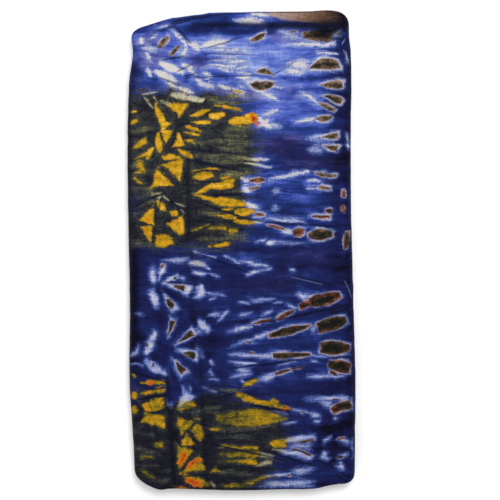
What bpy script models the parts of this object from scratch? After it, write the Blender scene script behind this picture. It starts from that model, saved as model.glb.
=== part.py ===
"""A length of adire cloth, doubled along its middle and folded into a flat oblong bundle.

Metres, +Z up. X runs across the bundle, Y along it and the bundle lies on z = 0. The cloth is one
strip of doubled cotton. It starts under the face, goes back and forth down through the stack, turns
up round the left side, over the face, down round the right side and ends underneath.
"""

import math
from collections import namedtuple

import bmesh
import bpy
from mathutils import Vector

MM = 0.001

# Driving sizes
BUNDLE_WIDTH = 0.271
BUNDLE_LENGTH = 0.567
CLOTH_THICKNESS = 1.05 * MM
LAYER_PITCH = 1.8 * MM
INNER_LAYERS = 16
CROWN_SHARE = 0.07

# The rounded sides that the outer turn makes
SIDE_BULGE = 12 * MM
SIDE_POWER = 2.2
SIDE_STEPS = 10
SIDE_CLEARANCE = 2.4 * MM

# The outer turn's ends roll inwards over the stack, and its underside stops short of them
TOP_ROLL_RADIUS = 7 * MM
BOTTOM_ROLL_RADIUS = 3.5 * MM
ROLL_ANGLE = math.radians(80)
SIDE_ROLL_SHARE = 0.3
UNDERSIDE_SHORT = 8 * MM

# The groove pressed under the rolled lip, at the far end of the face. It runs out towards both sides
GROOVE_DEPTH_SHARE = 0.10
GROOVE_FROM_END = 20 * MM
GROOVE_WIDTH = 9 * MM
GROOVE_START = -0.45
GROOVE_RUN_OUT = 0.25

# The corners' rounding, as seen from above
CORNER_DEPTH = 1.0 * MM
CORNER_LENGTH = 10 * MM

# Where the loose end stops underneath, and where the strip starts under the face
LOOSE_END_X = -0.119
START_SETBACK = 9 * MM

FOLD_STEPS = 3
RUN_PLACES = (-0.75, -0.25, 0.25, 0.75)
FACE_STEPS = 18
BOTTOM_STEPS = 6

LAST_LEVEL = INNER_LAYERS + 1
FACE_Z = CLOTH_THICKNESS / 2 + LAST_LEVEL * LAYER_PITCH
HALF_WIDTH = (BUNDLE_WIDTH - CLOTH_THICKNESS) / 2
TOP_ROLL = TOP_ROLL_RADIUS * ROLL_ANGLE
BOTTOM_ROLL = BOTTOM_ROLL_RADIUS * ROLL_ANGLE

# The bundle's left and right edges at places along it, as seen from above
Edge = namedtuple("Edge", "y left right")
EDGES = (
    Edge(-0.285, -0.1262, 0.1345),
    Edge(-0.255, -0.1275, 0.1349),
    Edge(-0.225, -0.1288, 0.1350),
    Edge(-0.160, -0.1332, 0.1358),
    Edge(-0.060, -0.1329, 0.1333),
    Edge(0.050, -0.1350, 0.1305),
    Edge(0.150, -0.1354, 0.1302),
    Edge(0.205, -0.1332, 0.1308),
    Edge(0.238, -0.1294, 0.1298),
    Edge(0.256, -0.1318, 0.1280),
    Edge(0.285, -0.1315, 0.1285),
)

# How far the cloth reaches at both ends, at places across the bundle from -1 to 1
End = namedtuple("End", "across top bottom")
ENDS = (
    End(-1.00, 0.2610, -0.2665),
    End(-0.90, 0.2662, -0.2752),
    End(-0.78, 0.2698, -0.2818),
    End(-0.70, 0.2728, -0.2805),
    End(-0.61, 0.2757, -0.2803),
    End(-0.39, 0.2803, -0.2815),
    End(-0.03, 0.2818, -0.2823),
    End(0.35, 0.2827, -0.2812),
    End(0.63, 0.2831, -0.2806),
    End(0.84, 0.2840, -0.2750),
    End(0.92, 0.2820, -0.2744),
    End(1.00, 0.2770, -0.2712),
)

# One row for each inner layer, from the face down: how far its fold stops short of the side, and how
# far its two ends stop short of the outer turn's
Layer = namedtuple("Layer", "fold_short top_short bottom_short")
LAYERS = (
    Layer(0.0012, 0.0136, 0.0070),
    Layer(0.0030, 0.0144, 0.0085),
    Layer(0.0006, 0.0125, 0.0060),
    Layer(0.0021, 0.0140, 0.0075),
    Layer(0.0038, 0.0105, 0.0045),
    Layer(0.0010, 0.0085, 0.0030),
    Layer(0.0027, 0.0100, 0.0060),
    Layer(0.0004, 0.0070, 0.0040),
    Layer(0.0033, 0.0050, 0.0065),
    Layer(0.0016, 0.0080, 0.0035),
    Layer(0.0024, 0.0045, 0.0020),
    Layer(0.0008, 0.0060, 0.0055),
    Layer(0.0036, 0.0045, 0.0030),
    Layer(0.0014, 0.0075, 0.0050),
    Layer(0.0028, 0.0055, 0.0025),
    Layer(0.0010, 0.0078, 0.0072),
)

# A point of the folded section: its place, how far it is from the bundle's two ends, its share of the
# outer turn's roll there, and the way that the roll takes it
Point = namedtuple("Point", "x z top_short bottom_short roll_share inward")

# The places along the cloth where the section is set: distances from either end, and the middle ones
TOP_DISTANCES = (0.0, TOP_ROLL / 2, TOP_ROLL, 0.016, 0.022, 0.029, 0.040, 0.080)
MIDDLE_PLACES = (0.130, 0.040, -0.050, -0.140)
BOTTOM_DISTANCES = (0.060, 0.020, BOTTOM_ROLL, BOTTOM_ROLL / 2, 0.0)


def clear_scene():
    for obj in list(bpy.data.objects):
        bpy.data.objects.remove(obj)


def table_value(rows, key, value, at):
    """A table's column at a place of its key column, on a smooth curve through the rows."""
    keys = [getattr(row, key) for row in rows]
    values = [getattr(row, value) for row in rows]
    slopes = [(b - a) / (q - p) for a, b, p, q in zip(values, values[1:], keys, keys[1:])]
    at = min(max(at, keys[0]), keys[-1])
    i = max(k for k in range(len(slopes)) if keys[k] <= at)
    start_slope = (slopes[max(i - 1, 0)] + slopes[i]) / 2
    end_slope = (slopes[i] + slopes[min(i + 1, len(slopes) - 1)]) / 2
    width = keys[i + 1] - keys[i]
    t = (at - keys[i]) / width
    eased = t * t * (3 - 2 * t)
    bend = width * t * (1 - t) * (start_slope * (1 - t) - end_slope * t)
    return values[i] * (1 - eased) + values[i + 1] * eased + bend


def level_z(level):
    """The height of a layer's middle, counted down from the face at level 0."""
    return FACE_Z - level * LAYER_PITCH


def side_reach(z, low, high):
    """How far the outer turn's side reaches from the centre line at a height."""
    middle, half = (low + high) / 2, (high - low) / 2
    share = min(abs(z - middle) / half, 1.0)
    return HALF_WIDTH - SIDE_BULGE * (1 - (1 - share**SIDE_POWER) ** (1 / SIDE_POWER))


def fold_reach(level, low):
    """How far the small fold below this layer reaches, inside the side's curve."""
    fold_top, fold_bottom = level_z(level), level_z(level + 1)
    tightest = min(
        side_reach(fold_top + SIDE_CLEARANCE, low, FACE_Z),
        side_reach(fold_bottom - SIDE_CLEARANCE, low, FACE_Z),
    )
    return tightest - SIDE_CLEARANCE - LAYERS[level - 1].fold_short


def inner_point(x, z, layer, below=None, share=0.0):
    """A point of an inner layer, or of the fold from it to the one below."""
    below = below or layer
    top_short = layer.top_short * (1 - share) + below.top_short * share
    bottom_short = layer.bottom_short * (1 - share) + below.bottom_short * share
    return Point(x, z, top_short, bottom_short, 0.0, Vector((0, 0, 0)))


def inner_layers(left_low, right_low):
    """The back-and-forth layers, from the one under the face down to the lowest."""
    start = -(side_reach(level_z(1) + SIDE_CLEARANCE, left_low, FACE_Z) - START_SETBACK)
    points = [inner_point(start, level_z(1), LAYERS[0])]
    for level in range(1, INNER_LAYERS + 1):
        layer = LAYERS[level - 1]
        side = 1 if level % 2 else -1
        for place in RUN_PLACES:
            points.append(inner_point(side * place * HALF_WIDTH, level_z(level), layer))
        if level < INNER_LAYERS:
            low = right_low if side > 0 else left_low
            points += small_fold(side, level, fold_reach(level, low), layer, LAYERS[level])
    return points


def small_fold(side, level, reach, layer, below):
    """A half circle from one layer to the next, its ends blending between the two layers' own."""
    radius = LAYER_PITCH / 2
    middle_z = level_z(level) - radius
    points = []
    for step in range(FOLD_STEPS + 1):
        share = step / FOLD_STEPS
        x = side * (reach - radius + radius * math.sin(math.pi * share))
        z = middle_z + radius * math.cos(math.pi * share)
        points.append(inner_point(x, z, layer, below, share))
    return points


def outer_point(x, z, inward):
    """A point of the outer turn, which rolls in at the ends beside the face and not on the underside."""
    height = min(max((z - level_z(LAST_LEVEL)) / (FACE_Z - level_z(LAST_LEVEL)), 0.0), 1.0)
    share = height * height * (3 - 2 * height)
    short = UNDERSIDE_SHORT * (1 - share)
    return Point(x, z, short, short, share, inward)


def rounded_side(side, low, upwards):
    """The outer turn's rounded side, from a low level to the face or down again."""
    middle, half = (low + FACE_Z) / 2, (FACE_Z - low) / 2
    turns = [math.pi * step / SIDE_STEPS for step in range(SIDE_STEPS + 1)]
    points = []
    for turn in turns if upwards else reversed(turns):
        lift, out = -math.cos(turn), math.sin(turn)
        z = middle + half * math.copysign(abs(lift) ** (2 / SIDE_POWER), lift)
        x = side * (HALF_WIDTH - SIDE_BULGE + SIDE_BULGE * out ** (2 / SIDE_POWER))
        inward = Vector((-side * out * SIDE_ROLL_SHARE, 0, -max(lift, 0.0)))
        points.append(outer_point(x, z, inward))
    return points


def face_points():
    """The flat part of the face, with its points closer together near both sides."""
    flat_half = HALF_WIDTH - SIDE_BULGE
    places = [-math.cos(math.pi * step / FACE_STEPS) for step in range(1, FACE_STEPS)]
    return [outer_point(flat_half * place, FACE_Z, Vector((0, 0, -1))) for place in places]


def underside():
    start_x = HALF_WIDTH - SIDE_BULGE
    shares = [step / BOTTOM_STEPS for step in range(1, BOTTOM_STEPS + 1)]
    places = [start_x + (LOOSE_END_X - start_x) * share for share in shares]
    return [outer_point(x, level_z(LAST_LEVEL), Vector((0, 0, 0))) for x in places]


def folded_section():
    """The whole strip as seen from its end, point by point along the cloth."""
    left_low, right_low = level_z(INNER_LAYERS), level_z(LAST_LEVEL)
    left_side = rounded_side(-1, left_low, upwards=True)
    right_side = rounded_side(1, right_low, upwards=False)
    return inner_layers(left_low, right_low) + left_side + face_points() + right_side + underside()


def height_change(across, y, top_y):
    """The share by which the stack is thicker or thinner than its layers, at a place seen from above."""
    along = y / (BUNDLE_LENGTH / 2)
    crown = CROWN_SHARE * (1 - across**2) * (1 - along**4)
    from_groove = (top_y - GROOVE_FROM_END - y) / GROOVE_WIDTH
    run_in = (1 - across**8) * (1 + math.tanh((across - GROOVE_START) / GROOVE_RUN_OUT)) / 2
    return crown - GROOVE_DEPTH_SHARE * run_in * math.exp(-(from_groove**2))


def rolled(distance, radius, length, share):
    """How far a point near a rolled end is from it along the bundle, and how far the roll takes it in."""
    turn = max(length - distance, 0.0) / radius
    along = radius * (1 - math.sin(turn)) + max(distance - length, 0.0)
    return distance + (along - distance) * share, radius * (1 - math.cos(turn)) * share


def outline_x(x, y, top_y, bottom_y):
    """Where a place of the straight bundle lies between its uneven left and right edges."""
    left = table_value(EDGES, "y", "left", y)
    right = table_value(EDGES, "y", "right", y)
    from_end = max(min(top_y - y, y - bottom_y), 0.0)
    corner = CORNER_DEPTH * max(1 - from_end / CORNER_LENGTH, 0.0) ** 2
    half = (right - left) / 2 - corner
    return (left + right) / 2 + x * half / (HALF_WIDTH + CLOTH_THICKNESS / 2)


def placed(point, station):
    """Where a point of the section lies at one station along the cloth."""
    kind, amount = station
    across = point.x / HALF_WIDTH
    top_y = table_value(ENDS, "across", "top", across)
    bottom_y = table_value(ENDS, "across", "bottom", across)
    if kind == "top":
        along, inwards = rolled(amount, TOP_ROLL_RADIUS, TOP_ROLL, point.roll_share)
        y = top_y - point.top_short - along
    elif kind == "bottom":
        along, inwards = rolled(amount, BOTTOM_ROLL_RADIUS, BOTTOM_ROLL, point.roll_share)
        y = bottom_y + point.bottom_short + along
    else:
        y, inwards = amount, 0.0
    x = outline_x(point.x + point.inward.x * inwards, y, top_y, bottom_y)
    lowest = CLOTH_THICKNESS / 2
    height = point.z + point.inward.z * inwards - lowest
    return Vector((x, y, lowest + height * (1 + height_change(across, y, top_y))))


def stations():
    top = [("top", distance) for distance in TOP_DISTANCES]
    middle = [("middle", place) for place in MIDDLE_PLACES]
    bottom = [("bottom", distance) for distance in BOTTOM_DISTANCES]
    return top + middle + bottom


def folded_sheet(points):
    """The strip's middle surface: a flat grid, folded by moving each vertex to its place."""
    places = stations()
    shape = bmesh.new()
    bmesh.ops.create_grid(shape, x_segments=len(points) - 1, y_segments=len(places) - 1, size=1.0)
    for vert in shape.verts:
        column = round((vert.co.x + 1) / 2 * (len(points) - 1))
        row = round((vert.co.y + 1) / 2 * (len(places) - 1))
        vert.co = placed(points[column], places[row])
    mesh = bpy.data.meshes.new("adire_cloth")
    shape.to_mesh(mesh)
    shape.free()
    return mesh


def dyed_cotton():
    material = bpy.data.materials.new("dyed_cotton")
    material.use_nodes = True
    shader = material.node_tree.nodes["Principled BSDF"]
    shader.inputs["Base Color"].default_value = (0.030, 0.048, 0.260, 1.0)
    shader.inputs["Roughness"].default_value = 0.6
    shader.inputs["Metallic"].default_value = 0.0
    return material


def stand_at_origin(obj):
    """Moves the mesh so that the finished cloth's box is centred on the Z axis and rests on z = 0."""
    bpy.context.view_layer.update()
    evaluated = obj.evaluated_get(bpy.context.evaluated_depsgraph_get())
    corners = [Vector(corner) for corner in evaluated.bound_box]
    low = Vector(min(corner[i] for corner in corners) for i in range(3))
    high = Vector(max(corner[i] for corner in corners) for i in range(3))
    for vert in obj.data.vertices:
        vert.co -= Vector(((low.x + high.x) / 2, (low.y + high.y) / 2, low.z))


def build_cloth(collection):
    mesh = folded_sheet(folded_section())
    cloth = bpy.data.objects.new("adire_cloth", mesh)
    collection.objects.link(cloth)
    cloth.data.materials.append(dyed_cotton())
    thicken = cloth.modifiers.new("Thickness", "SOLIDIFY")
    thicken.thickness = CLOTH_THICKNESS
    thicken.offset = 0.0
    thicken.use_even_offset = True
    cloth.data.shade_smooth()
    stand_at_origin(cloth)
    return cloth


def main():
    clear_scene()
    collection = bpy.data.collections.new("folded_adire_cloth")
    bpy.context.scene.collection.children.link(collection)
    build_cloth(collection)


main()
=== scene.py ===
import math
from collections import namedtuple
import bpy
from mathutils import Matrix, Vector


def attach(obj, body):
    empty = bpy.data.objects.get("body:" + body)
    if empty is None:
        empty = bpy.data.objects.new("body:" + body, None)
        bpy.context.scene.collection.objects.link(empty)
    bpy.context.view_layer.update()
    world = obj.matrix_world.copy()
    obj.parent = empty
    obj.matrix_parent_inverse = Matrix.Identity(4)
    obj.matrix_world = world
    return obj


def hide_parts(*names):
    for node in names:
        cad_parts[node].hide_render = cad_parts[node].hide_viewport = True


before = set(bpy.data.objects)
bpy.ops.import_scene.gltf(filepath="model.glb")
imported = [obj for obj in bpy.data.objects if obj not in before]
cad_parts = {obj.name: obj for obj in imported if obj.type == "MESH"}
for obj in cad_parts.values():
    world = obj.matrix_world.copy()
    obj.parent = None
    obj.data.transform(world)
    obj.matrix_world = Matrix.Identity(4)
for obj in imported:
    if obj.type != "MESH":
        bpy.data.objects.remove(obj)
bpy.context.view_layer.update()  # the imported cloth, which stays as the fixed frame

from types import SimpleNamespace

import bpy
import numpy as np

mm = 0.001

# The folded bundle: the same sizes as the solid model, in metres
bundle = {
    "width": 0.271,
    "length": 0.567,
    "solidThickness": 1.05 * mm,
    "pitch": 1.8 * mm,
    "innerLayers": 16,
    "crown": 0.07,
    "sideBulge": 12 * mm,
    "sidePower": 2.2,
    "sideClearance": 2.4 * mm,
    "topRollRadius": 7 * mm,
    "bottomRollRadius": 3.5 * mm,
    "rollAngle": math.radians(80),
    "sideRoll": 0.3,
    "undersideShort": 8 * mm,
    "grooveDepth": 0.10,
    "grooveFromEnd": 20 * mm,
    "grooveWidth": 9 * mm,
    "grooveStart": -0.45,
    "grooveRunOut": 0.25,
    "cornerDepth": 1.0 * mm,
    "cornerLength": 10 * mm,
    "looseEndX": -0.119,
    "startSetback": 9 * mm,
}

# The doubled cloth itself and how finely it is drawn
cloth = {
    "plyThickness": 0.42 * mm,
    "plyGap": 0.10 * mm,
    "flatWidth": 1.143,
    "flatLength": 4.61,
    "innerSqueeze": 0.94,  # the stack settles, which leaves room for creases under the face
    "hiddenDrop": 1.9 * mm,
    "hiddenFrom": (4 * mm, 18 * mm),
    "faceCell": 1.9 * mm,
    "sideSteps": 20,
    "turnBackStep": 7,  # from this step of the rounded side down, the pattern runs back under the face
    "undersideCell": 6.0 * mm,
    "rowCell": 2.0 * mm,
    "coarseEvery": 5,
    "runSteps": 11,
    "foldSteps": 4,
    "foldedEdgeSteps": 4,
    "raggedEnds": 1.2 * mm,
    "layerWave": 0.16 * mm,
}

studio = {
    "floorSize": 6.0,
    "floorColour": (0.96, 0.96, 0.96, 1),
    "floorRoughness": 0.9,
    "worldStrength": 0.62,
    "keyLight": {"place": (0.24, 0.56, 1.9), "size": 0.7, "power": 25.0},
    "fillLight": {"place": (-1.0, -0.7, 1.7), "size": 1.2, "power": 6.0},
    "lightLevel": 1.2,  # how much brighter than its dyes the cloth looks in this light
    "cameraHeight": 1.422,
    "cameraX": 0.0100,
    "cameraLens": 85.0,
}

halfWidth = (bundle["width"] - bundle["solidThickness"]) / 2
lastLevel = bundle["innerLayers"] + 1
faceZ = bundle["solidThickness"] / 2 + lastLevel * bundle["pitch"]
topRoll = bundle["topRollRadius"] * bundle["rollAngle"]
bottomRoll = bundle["bottomRollRadius"] * bundle["rollAngle"]

# y, left edge, right edge
edgeRows = np.array([
    (-0.285, -0.1262, 0.1345),
    (-0.255, -0.1275, 0.1349),
    (-0.225, -0.1288, 0.1350),
    (-0.160, -0.1332, 0.1358),
    (-0.060, -0.1329, 0.1333),
    (0.050, -0.1350, 0.1305),
    (0.150, -0.1354, 0.1302),
    (0.205, -0.1332, 0.1308),
    (0.238, -0.1294, 0.1298),
    (0.256, -0.1318, 0.1280),
    (0.285, -0.1315, 0.1285),
])

# place across, top end, bottom end
endRows = np.array([
    (-1.00, 0.2594, -0.2665),
    (-0.90, 0.2645, -0.2752),
    (-0.78, 0.2698, -0.2818),
    (-0.70, 0.2728, -0.2805),
    (-0.61, 0.2757, -0.2803),
    (-0.39, 0.2803, -0.2815),
    (-0.03, 0.2818, -0.2823),
    (0.35, 0.2827, -0.2812),
    (0.63, 0.2831, -0.2806),
    (0.84, 0.2840, -0.2750),
    (0.92, 0.2820, -0.2744),
    (1.00, 0.2770, -0.2712),
])

# For each inner layer from the face down: how far its fold, top end and bottom end stop short
layerRows = [
    (0.0012, 0.0136, 0.0070),
    (0.0030, 0.0144, 0.0085),
    (0.0006, 0.0125, 0.0060),
    (0.0021, 0.0140, 0.0075),
    (0.0038, 0.0105, 0.0045),
    (0.0010, 0.0085, 0.0030),
    (0.0027, 0.0100, 0.0060),
    (0.0004, 0.0070, 0.0040),
    (0.0033, 0.0050, 0.0065),
    (0.0016, 0.0080, 0.0035),
    (0.0024, 0.0045, 0.0020),
    (0.0008, 0.0060, 0.0055),
    (0.0036, 0.0045, 0.0030),
    (0.0014, 0.0075, 0.0050),
    (0.0028, 0.0055, 0.0025),
    (0.0010, 0.0078, 0.0072),
]


def eased(t):
    t = np.clip(t, 0, 1)
    return t * t * (3 - 2 * t)


def smoothTable(rows, column, at):
    # a column's value at places of the first column, on a smooth curve through the rows
    keys, values = rows[:, 0], rows[:, column]
    slopes = np.diff(values) / np.diff(keys)
    at = np.clip(at, keys[0], keys[-1])
    i = np.clip(np.searchsorted(keys, at, side="right") - 1, 0, len(slopes) - 1)
    startSlope = (slopes[np.maximum(i - 1, 0)] + slopes[i]) / 2
    endSlope = (slopes[i] + slopes[np.minimum(i + 1, len(slopes) - 1)]) / 2
    width = keys[i + 1] - keys[i]
    t = (at - keys[i]) / width
    bend = width * t * (1 - t) * (startSlope * (1 - t) - endSlope * t)
    return values[i] * (1 - eased(t)) + values[i + 1] * eased(t) + bend


noiseSize, noiseTables = 61, {}


def softNoise(x, y, seed):
    # smooth noise from -1 to 1, with about one bump to a unit
    if seed not in noiseTables:
        noiseTables[seed] = np.random.default_rng(seed).uniform(-1, 1, (noiseSize, noiseSize))
    table = noiseTables[seed]
    i, j = np.floor(x).astype(int), np.floor(y).astype(int)
    tx, ty = eased(x - i), eased(y - j)
    i, j, nextI, nextJ = i % noiseSize, j % noiseSize, (i + 1) % noiseSize, (j + 1) % noiseSize
    low = table[i, j] * (1 - tx) + table[nextI, j] * tx
    high = table[i, nextJ] * (1 - tx) + table[nextI, nextJ] * tx
    return low * (1 - ty) + high * ty


def softWaves(x, y, rows):
    # soft noises added up, from rows of strength, reach across, reach along, shift and seed
    waves = np.zeros(x.shape)
    for strength, across, along, shift, seed in rows:
        waves += strength * softNoise(x / across + shift, y / along, seed)
    return waves


# A place of the folded section, as seen from the strip's end
Spot = namedtuple("Spot", "x z topShort bottomShort share inX inZ layer coarse")


def levelZ(level):
    return faceZ - level * bundle["pitch"]


def sideReach(z, low, high):
    middle, half = (low + high) / 2, (high - low) / 2
    share = min(abs(z - middle) / half, 1.0)
    power = bundle["sidePower"]
    return halfWidth - bundle["sideBulge"] * (1 - (1 - share**power) ** (1 / power))


def foldReach(level, low):
    clear = bundle["sideClearance"]
    above = sideReach(levelZ(level) + clear, low, faceZ)
    below = sideReach(levelZ(level + 1) - clear, low, faceZ)
    return min(above, below) - clear - layerRows[level - 1][0]


def innerSpot(x, z, level, share=0.0):
    # a place of an inner layer, or of the fold from it to the next one
    here = layerRows[level - 1]
    below = layerRows[min(level, len(layerRows) - 1)]
    top = here[1] * (1 - share) + below[1] * share
    bottom = here[2] * (1 - share) + below[2] * share
    return Spot(x, z, top, bottom, 0.0, 0.0, 0.0, level + share, True)


def innerSpots(leftLow, rightLow):
    clear = bundle["sideClearance"]
    start = bundle["startSetback"] - sideReach(levelZ(1) + clear, leftLow, faceZ)
    spots = [innerSpot(start, levelZ(1), 1)]
    steps = cloth["runSteps"]
    for level in range(1, bundle["innerLayers"] + 1):
        side = 1 if level % 2 else -1
        for step in range(steps):
            place = -0.8 + 1.6 * step / (steps - 1)
            spots.append(innerSpot(side * place * halfWidth, levelZ(level), level))
        if level < bundle["innerLayers"]:
            low = rightLow if side > 0 else leftLow
            spots += smallFold(side, level, foldReach(level, low))
    return spots


def smallFold(side, level, reach):
    radius = bundle["pitch"] / 2
    spots = []
    for step in range(cloth["foldSteps"] + 1):
        share = step / cloth["foldSteps"]
        x = side * (reach - radius + radius * math.sin(math.pi * share))
        z = levelZ(level) - radius + radius * math.cos(math.pi * share)
        spots.append(innerSpot(x, z, level, share))
    return spots


def outerSpot(x, z, inX, inZ):
    # a place of the outer turn, which rolls in at its ends beside the face
    height = (z - levelZ(lastLevel)) / (faceZ - levelZ(lastLevel))
    share = float(eased(height))
    short = bundle["undersideShort"] * (1 - share)
    return Spot(x, z, short, short, share, inX, inZ, 0, False)


def roundedSide(side, low, upwards):
    middle, half = (low + faceZ) / 2, (faceZ - low) / 2
    power, bulge, steps = bundle["sidePower"], bundle["sideBulge"], cloth["sideSteps"]
    spots = []
    for step in range(steps + 1):
        turn = math.pi * (step if upwards else steps - step) / steps
        lift, out = -math.cos(turn), max(math.sin(turn), 0.0)
        z = middle + half * math.copysign(abs(lift) ** (2 / power), lift)
        x = side * (halfWidth - bulge + bulge * out ** (2 / power))
        spots.append(outerSpot(x, z, -side * out * bundle["sideRoll"], -max(lift, 0.0)))
    return spots


def faceSteps():
    return round(2 * (halfWidth - bundle["sideBulge"]) / cloth["faceCell"])


def outerSpots(leftLow, rightLow):
    flatHalf = halfWidth - bundle["sideBulge"]
    places = [flatHalf * (2 * step / faceSteps() - 1) for step in range(1, faceSteps())]
    underLength = flatHalf - bundle["looseEndX"]
    underSteps = round(underLength / cloth["undersideCell"])
    under = [flatHalf - underLength * step / underSteps for step in range(1, underSteps + 1)]
    return (
        roundedSide(-1, leftLow, upwards=True)
        + [outerSpot(x, faceZ, 0, -1) for x in places]
        + roundedSide(1, rightLow, upwards=False)
        + [outerSpot(x, levelZ(lastLevel), 0, 0) for x in under]
    )


def foldedSection():
    # the whole strip from its start under the face to its loose end, with the coarse places marked
    leftLow, rightLow = levelZ(bundle["innerLayers"]), levelZ(lastLevel)
    inner = innerSpots(leftLow, rightLow)
    outer = outerSpots(leftLow, rightLow)
    every = cloth["coarseEvery"]
    last = len(outer) - 1
    outer = [s._replace(coarse=i % every == 0 or i == last) for i, s in enumerate(outer)]
    return inner + outer, len(inner)


# Where the hidden side of the cloth has its rows, in millimetres from the folded edge
coarseRows = [0, 5, 9.8, 13, 16, 19, 22, 25, 29, 35, 45, 70, 130, 200, 290, 400, 500, 545, 560, 566, 569, 572]


def stationRuns():
    # distances along the doubled cloth from its folded edge, and which of them are coarse
    length = cloth["flatWidth"] / 2
    cell = cloth["rowCell"]
    top = list(np.linspace(0, topRoll, 7)[:-1])
    bottom = list(length - bottomRoll + np.linspace(0, bottomRoll, 5))
    middle = list(np.linspace(topRoll, length - bottomRoll, round((length - topRoll) / cell))[:-1])
    runs = np.array(top + middle + bottom)
    coarse = np.zeros(len(runs), bool)
    coarse[[int(np.argmin(abs(runs - distance * mm))) for distance in coarseRows]] = True
    return runs, coarse


def heightChange(across, y, topY):
    along = y / (bundle["length"] / 2)
    crown = bundle["crown"] * (1 - across**2) * (1 - along**4)
    fromGroove = (topY - bundle["grooveFromEnd"] - y) / bundle["grooveWidth"]
    runIn = (1 - across**8) * (1 + np.tanh((across - bundle["grooveStart"]) / bundle["grooveRunOut"])) / 2
    return crown - bundle["grooveDepth"] * runIn * np.exp(-(fromGroove**2))


def rolled(distance, radius, length, share):
    turn = np.maximum(length - distance, 0) / radius
    along = radius * (1 - np.sin(turn)) + np.maximum(distance - length, 0)
    return distance + (along - distance) * share, radius * (1 - np.cos(turn)) * share


def outlineX(x, y, topY, bottomY):
    left, right = smoothTable(edgeRows, 1, y), smoothTable(edgeRows, 2, y)
    fromEnd = np.maximum(np.minimum(topY - y, y - bottomY), 0)
    corner = bundle["cornerDepth"] * np.maximum(1 - fromEnd / bundle["cornerLength"], 0) ** 2
    half = (right - left) / 2 - corner
    return (left + right) / 2 + x * half / (halfWidth + bundle["solidThickness"] / 2)


# Creases of the face, in millimetres: a trough where deep is below zero, a ridge where it is above
Crease = namedtuple("Crease", "x0 y0 x1 y1 wide deep bend", defaults=(0,))
creases = [Crease(*row) for row in [
    (-108, 262, -78, 267, 2.6, -1.3),
    (-82, 270, -58, 248, 1.7, -1.1),
    (-78, 272, -55, 251, 1.5, 0.7),
    (-84, 262, -64, 245, 3.0, 0.7),
    (-80, 274, -40, 281, 2.8, -1.6),
    (-42, 241, 3, 257, 2.2, -1.1, 1.5),
    (-44, 246, -4, 258, 4.0, 0.7, 1.5),
    (34, 209, 58, 221, 1.6, -0.5),
    (36, 213, 57, 224, 1.6, 0.4),
    (94, 184, 128, 161, 2.6, -0.6),
    (20, 36, 120, 27, 2.0, -0.5, 2),
    (56, -31, 99, -41, 1.9, 0.5),
    (122, -34, 133, -58, 2.0, 0.5),
    (-60, 119, 131, 58, 5.0, -0.5, 4),
    (-60, 73, 128, 29, 5.0, 0.5, -3),
    (-124, -177, -86, -172, 1.9, -0.7),
    (12, -184, 54, -193, 1.9, -0.6),
    (119, 224, 128, 236, 1.8, -0.7),
    (110, 256, 122, 252, 1.8, -0.9),
    (-130, 60, -30, 96, 5.0, 0.4, 5),
    (-120, -60, 30, -110, 5.0, -0.4, 5),
    (-20, -205, 120, -240, 6.0, 0.4, -5),
    (-100, -268, 60, -252, 5.0, -0.4, 3),
]]


def alongAcross(x, y, mark):
    # places in the mark's own directions, from its middle, with half its length
    dx, dy = mark.x1 - mark.x0, mark.y1 - mark.y0
    length = math.hypot(dx, dy)
    fromX, fromY = x - (mark.x0 + mark.x1) / 2, y - (mark.y0 + mark.y1) / 2
    along = (fromX * dx + fromY * dy) / length
    across = (fromY * dx - fromX * dy) / length
    return along, across - mark.bend * (1 - (2 * along / length) ** 2), length / 2


# Soft waves of the face, in millimetres: height, reach across, reach along, shift and seed
reliefWaves = [(0.30, 46, 11, 0, 3), (0.16, 19, 6, 0, 5), (0.22, 60, 60, 7, 8), (0.07, 7, 4, 0, 9)]


def faceRelief(x, y):
    # how far the face stands out of its smooth shape, in millimetres
    relief = softWaves(x, y, reliefWaves)
    for crease in creases:
        along, across, half = alongAcross(x, y, crease)
        run = np.clip(1 - (along / half) ** 2, 0, 1)
        relief += crease.deep * np.sqrt(run) * np.exp(-((across / crease.wide) ** 2))
    return relief


def surfaceNormals(points):
    alongStrip = np.gradient(points, axis=0)
    alongCloth = np.gradient(points, axis=1)
    normals = np.cross(alongCloth, alongStrip)
    return normals / np.linalg.norm(normals, axis=2, keepdims=True)


def clothMiddle(spots, runs):
    # the middle of the doubled cloth at each place of the section and each run along it
    column = lambda name: np.array([getattr(s, name) for s in spots], float)[:, None]
    across, share, layer = column("x") / halfWidth, column("share"), column("layer")
    inner = layer > 0
    topY, bottomY = smoothTable(endRows, 1, across), smoothTable(endRows, 2, across)
    length = runs[-1]
    topAlong, topIn = rolled(runs[None, :], bundle["topRollRadius"], topRoll, share)
    bottomAlong, bottomIn = rolled(length - runs[None, :], bundle["bottomRollRadius"], bottomRoll, share)
    ragged = np.where(inner, cloth["raggedEnds"], 0) * softNoise(across * 2.2 + layer * 7, layer * 3.7, 11)
    fromTop = topY - column("topShort") - ragged - topAlong
    fromBottom = bottomY + column("bottomShort") + ragged * 0.7 + bottomAlong
    toBottom = eased((runs[None, :] / length - 0.1) / 0.8)
    y = fromTop * (1 - toBottom) + fromBottom * toBottom
    inwards = topIn + bottomIn
    x = outlineX(column("x") + column("inX") * inwards, y, topY, bottomY)
    lowest = bundle["solidThickness"] / 2
    squeeze = np.where(inner, cloth["innerSqueeze"], 1.0)
    height = (column("z") + column("inZ") * inwards - lowest) * (1 + heightChange(across, y, topY))
    wave = np.where(inner, cloth["layerWave"], 0) * softNoise(x * 24 + layer * 5, y * 9, 12)
    return np.stack([x, y, lowest + height * squeeze + wave], axis=2), share


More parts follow.
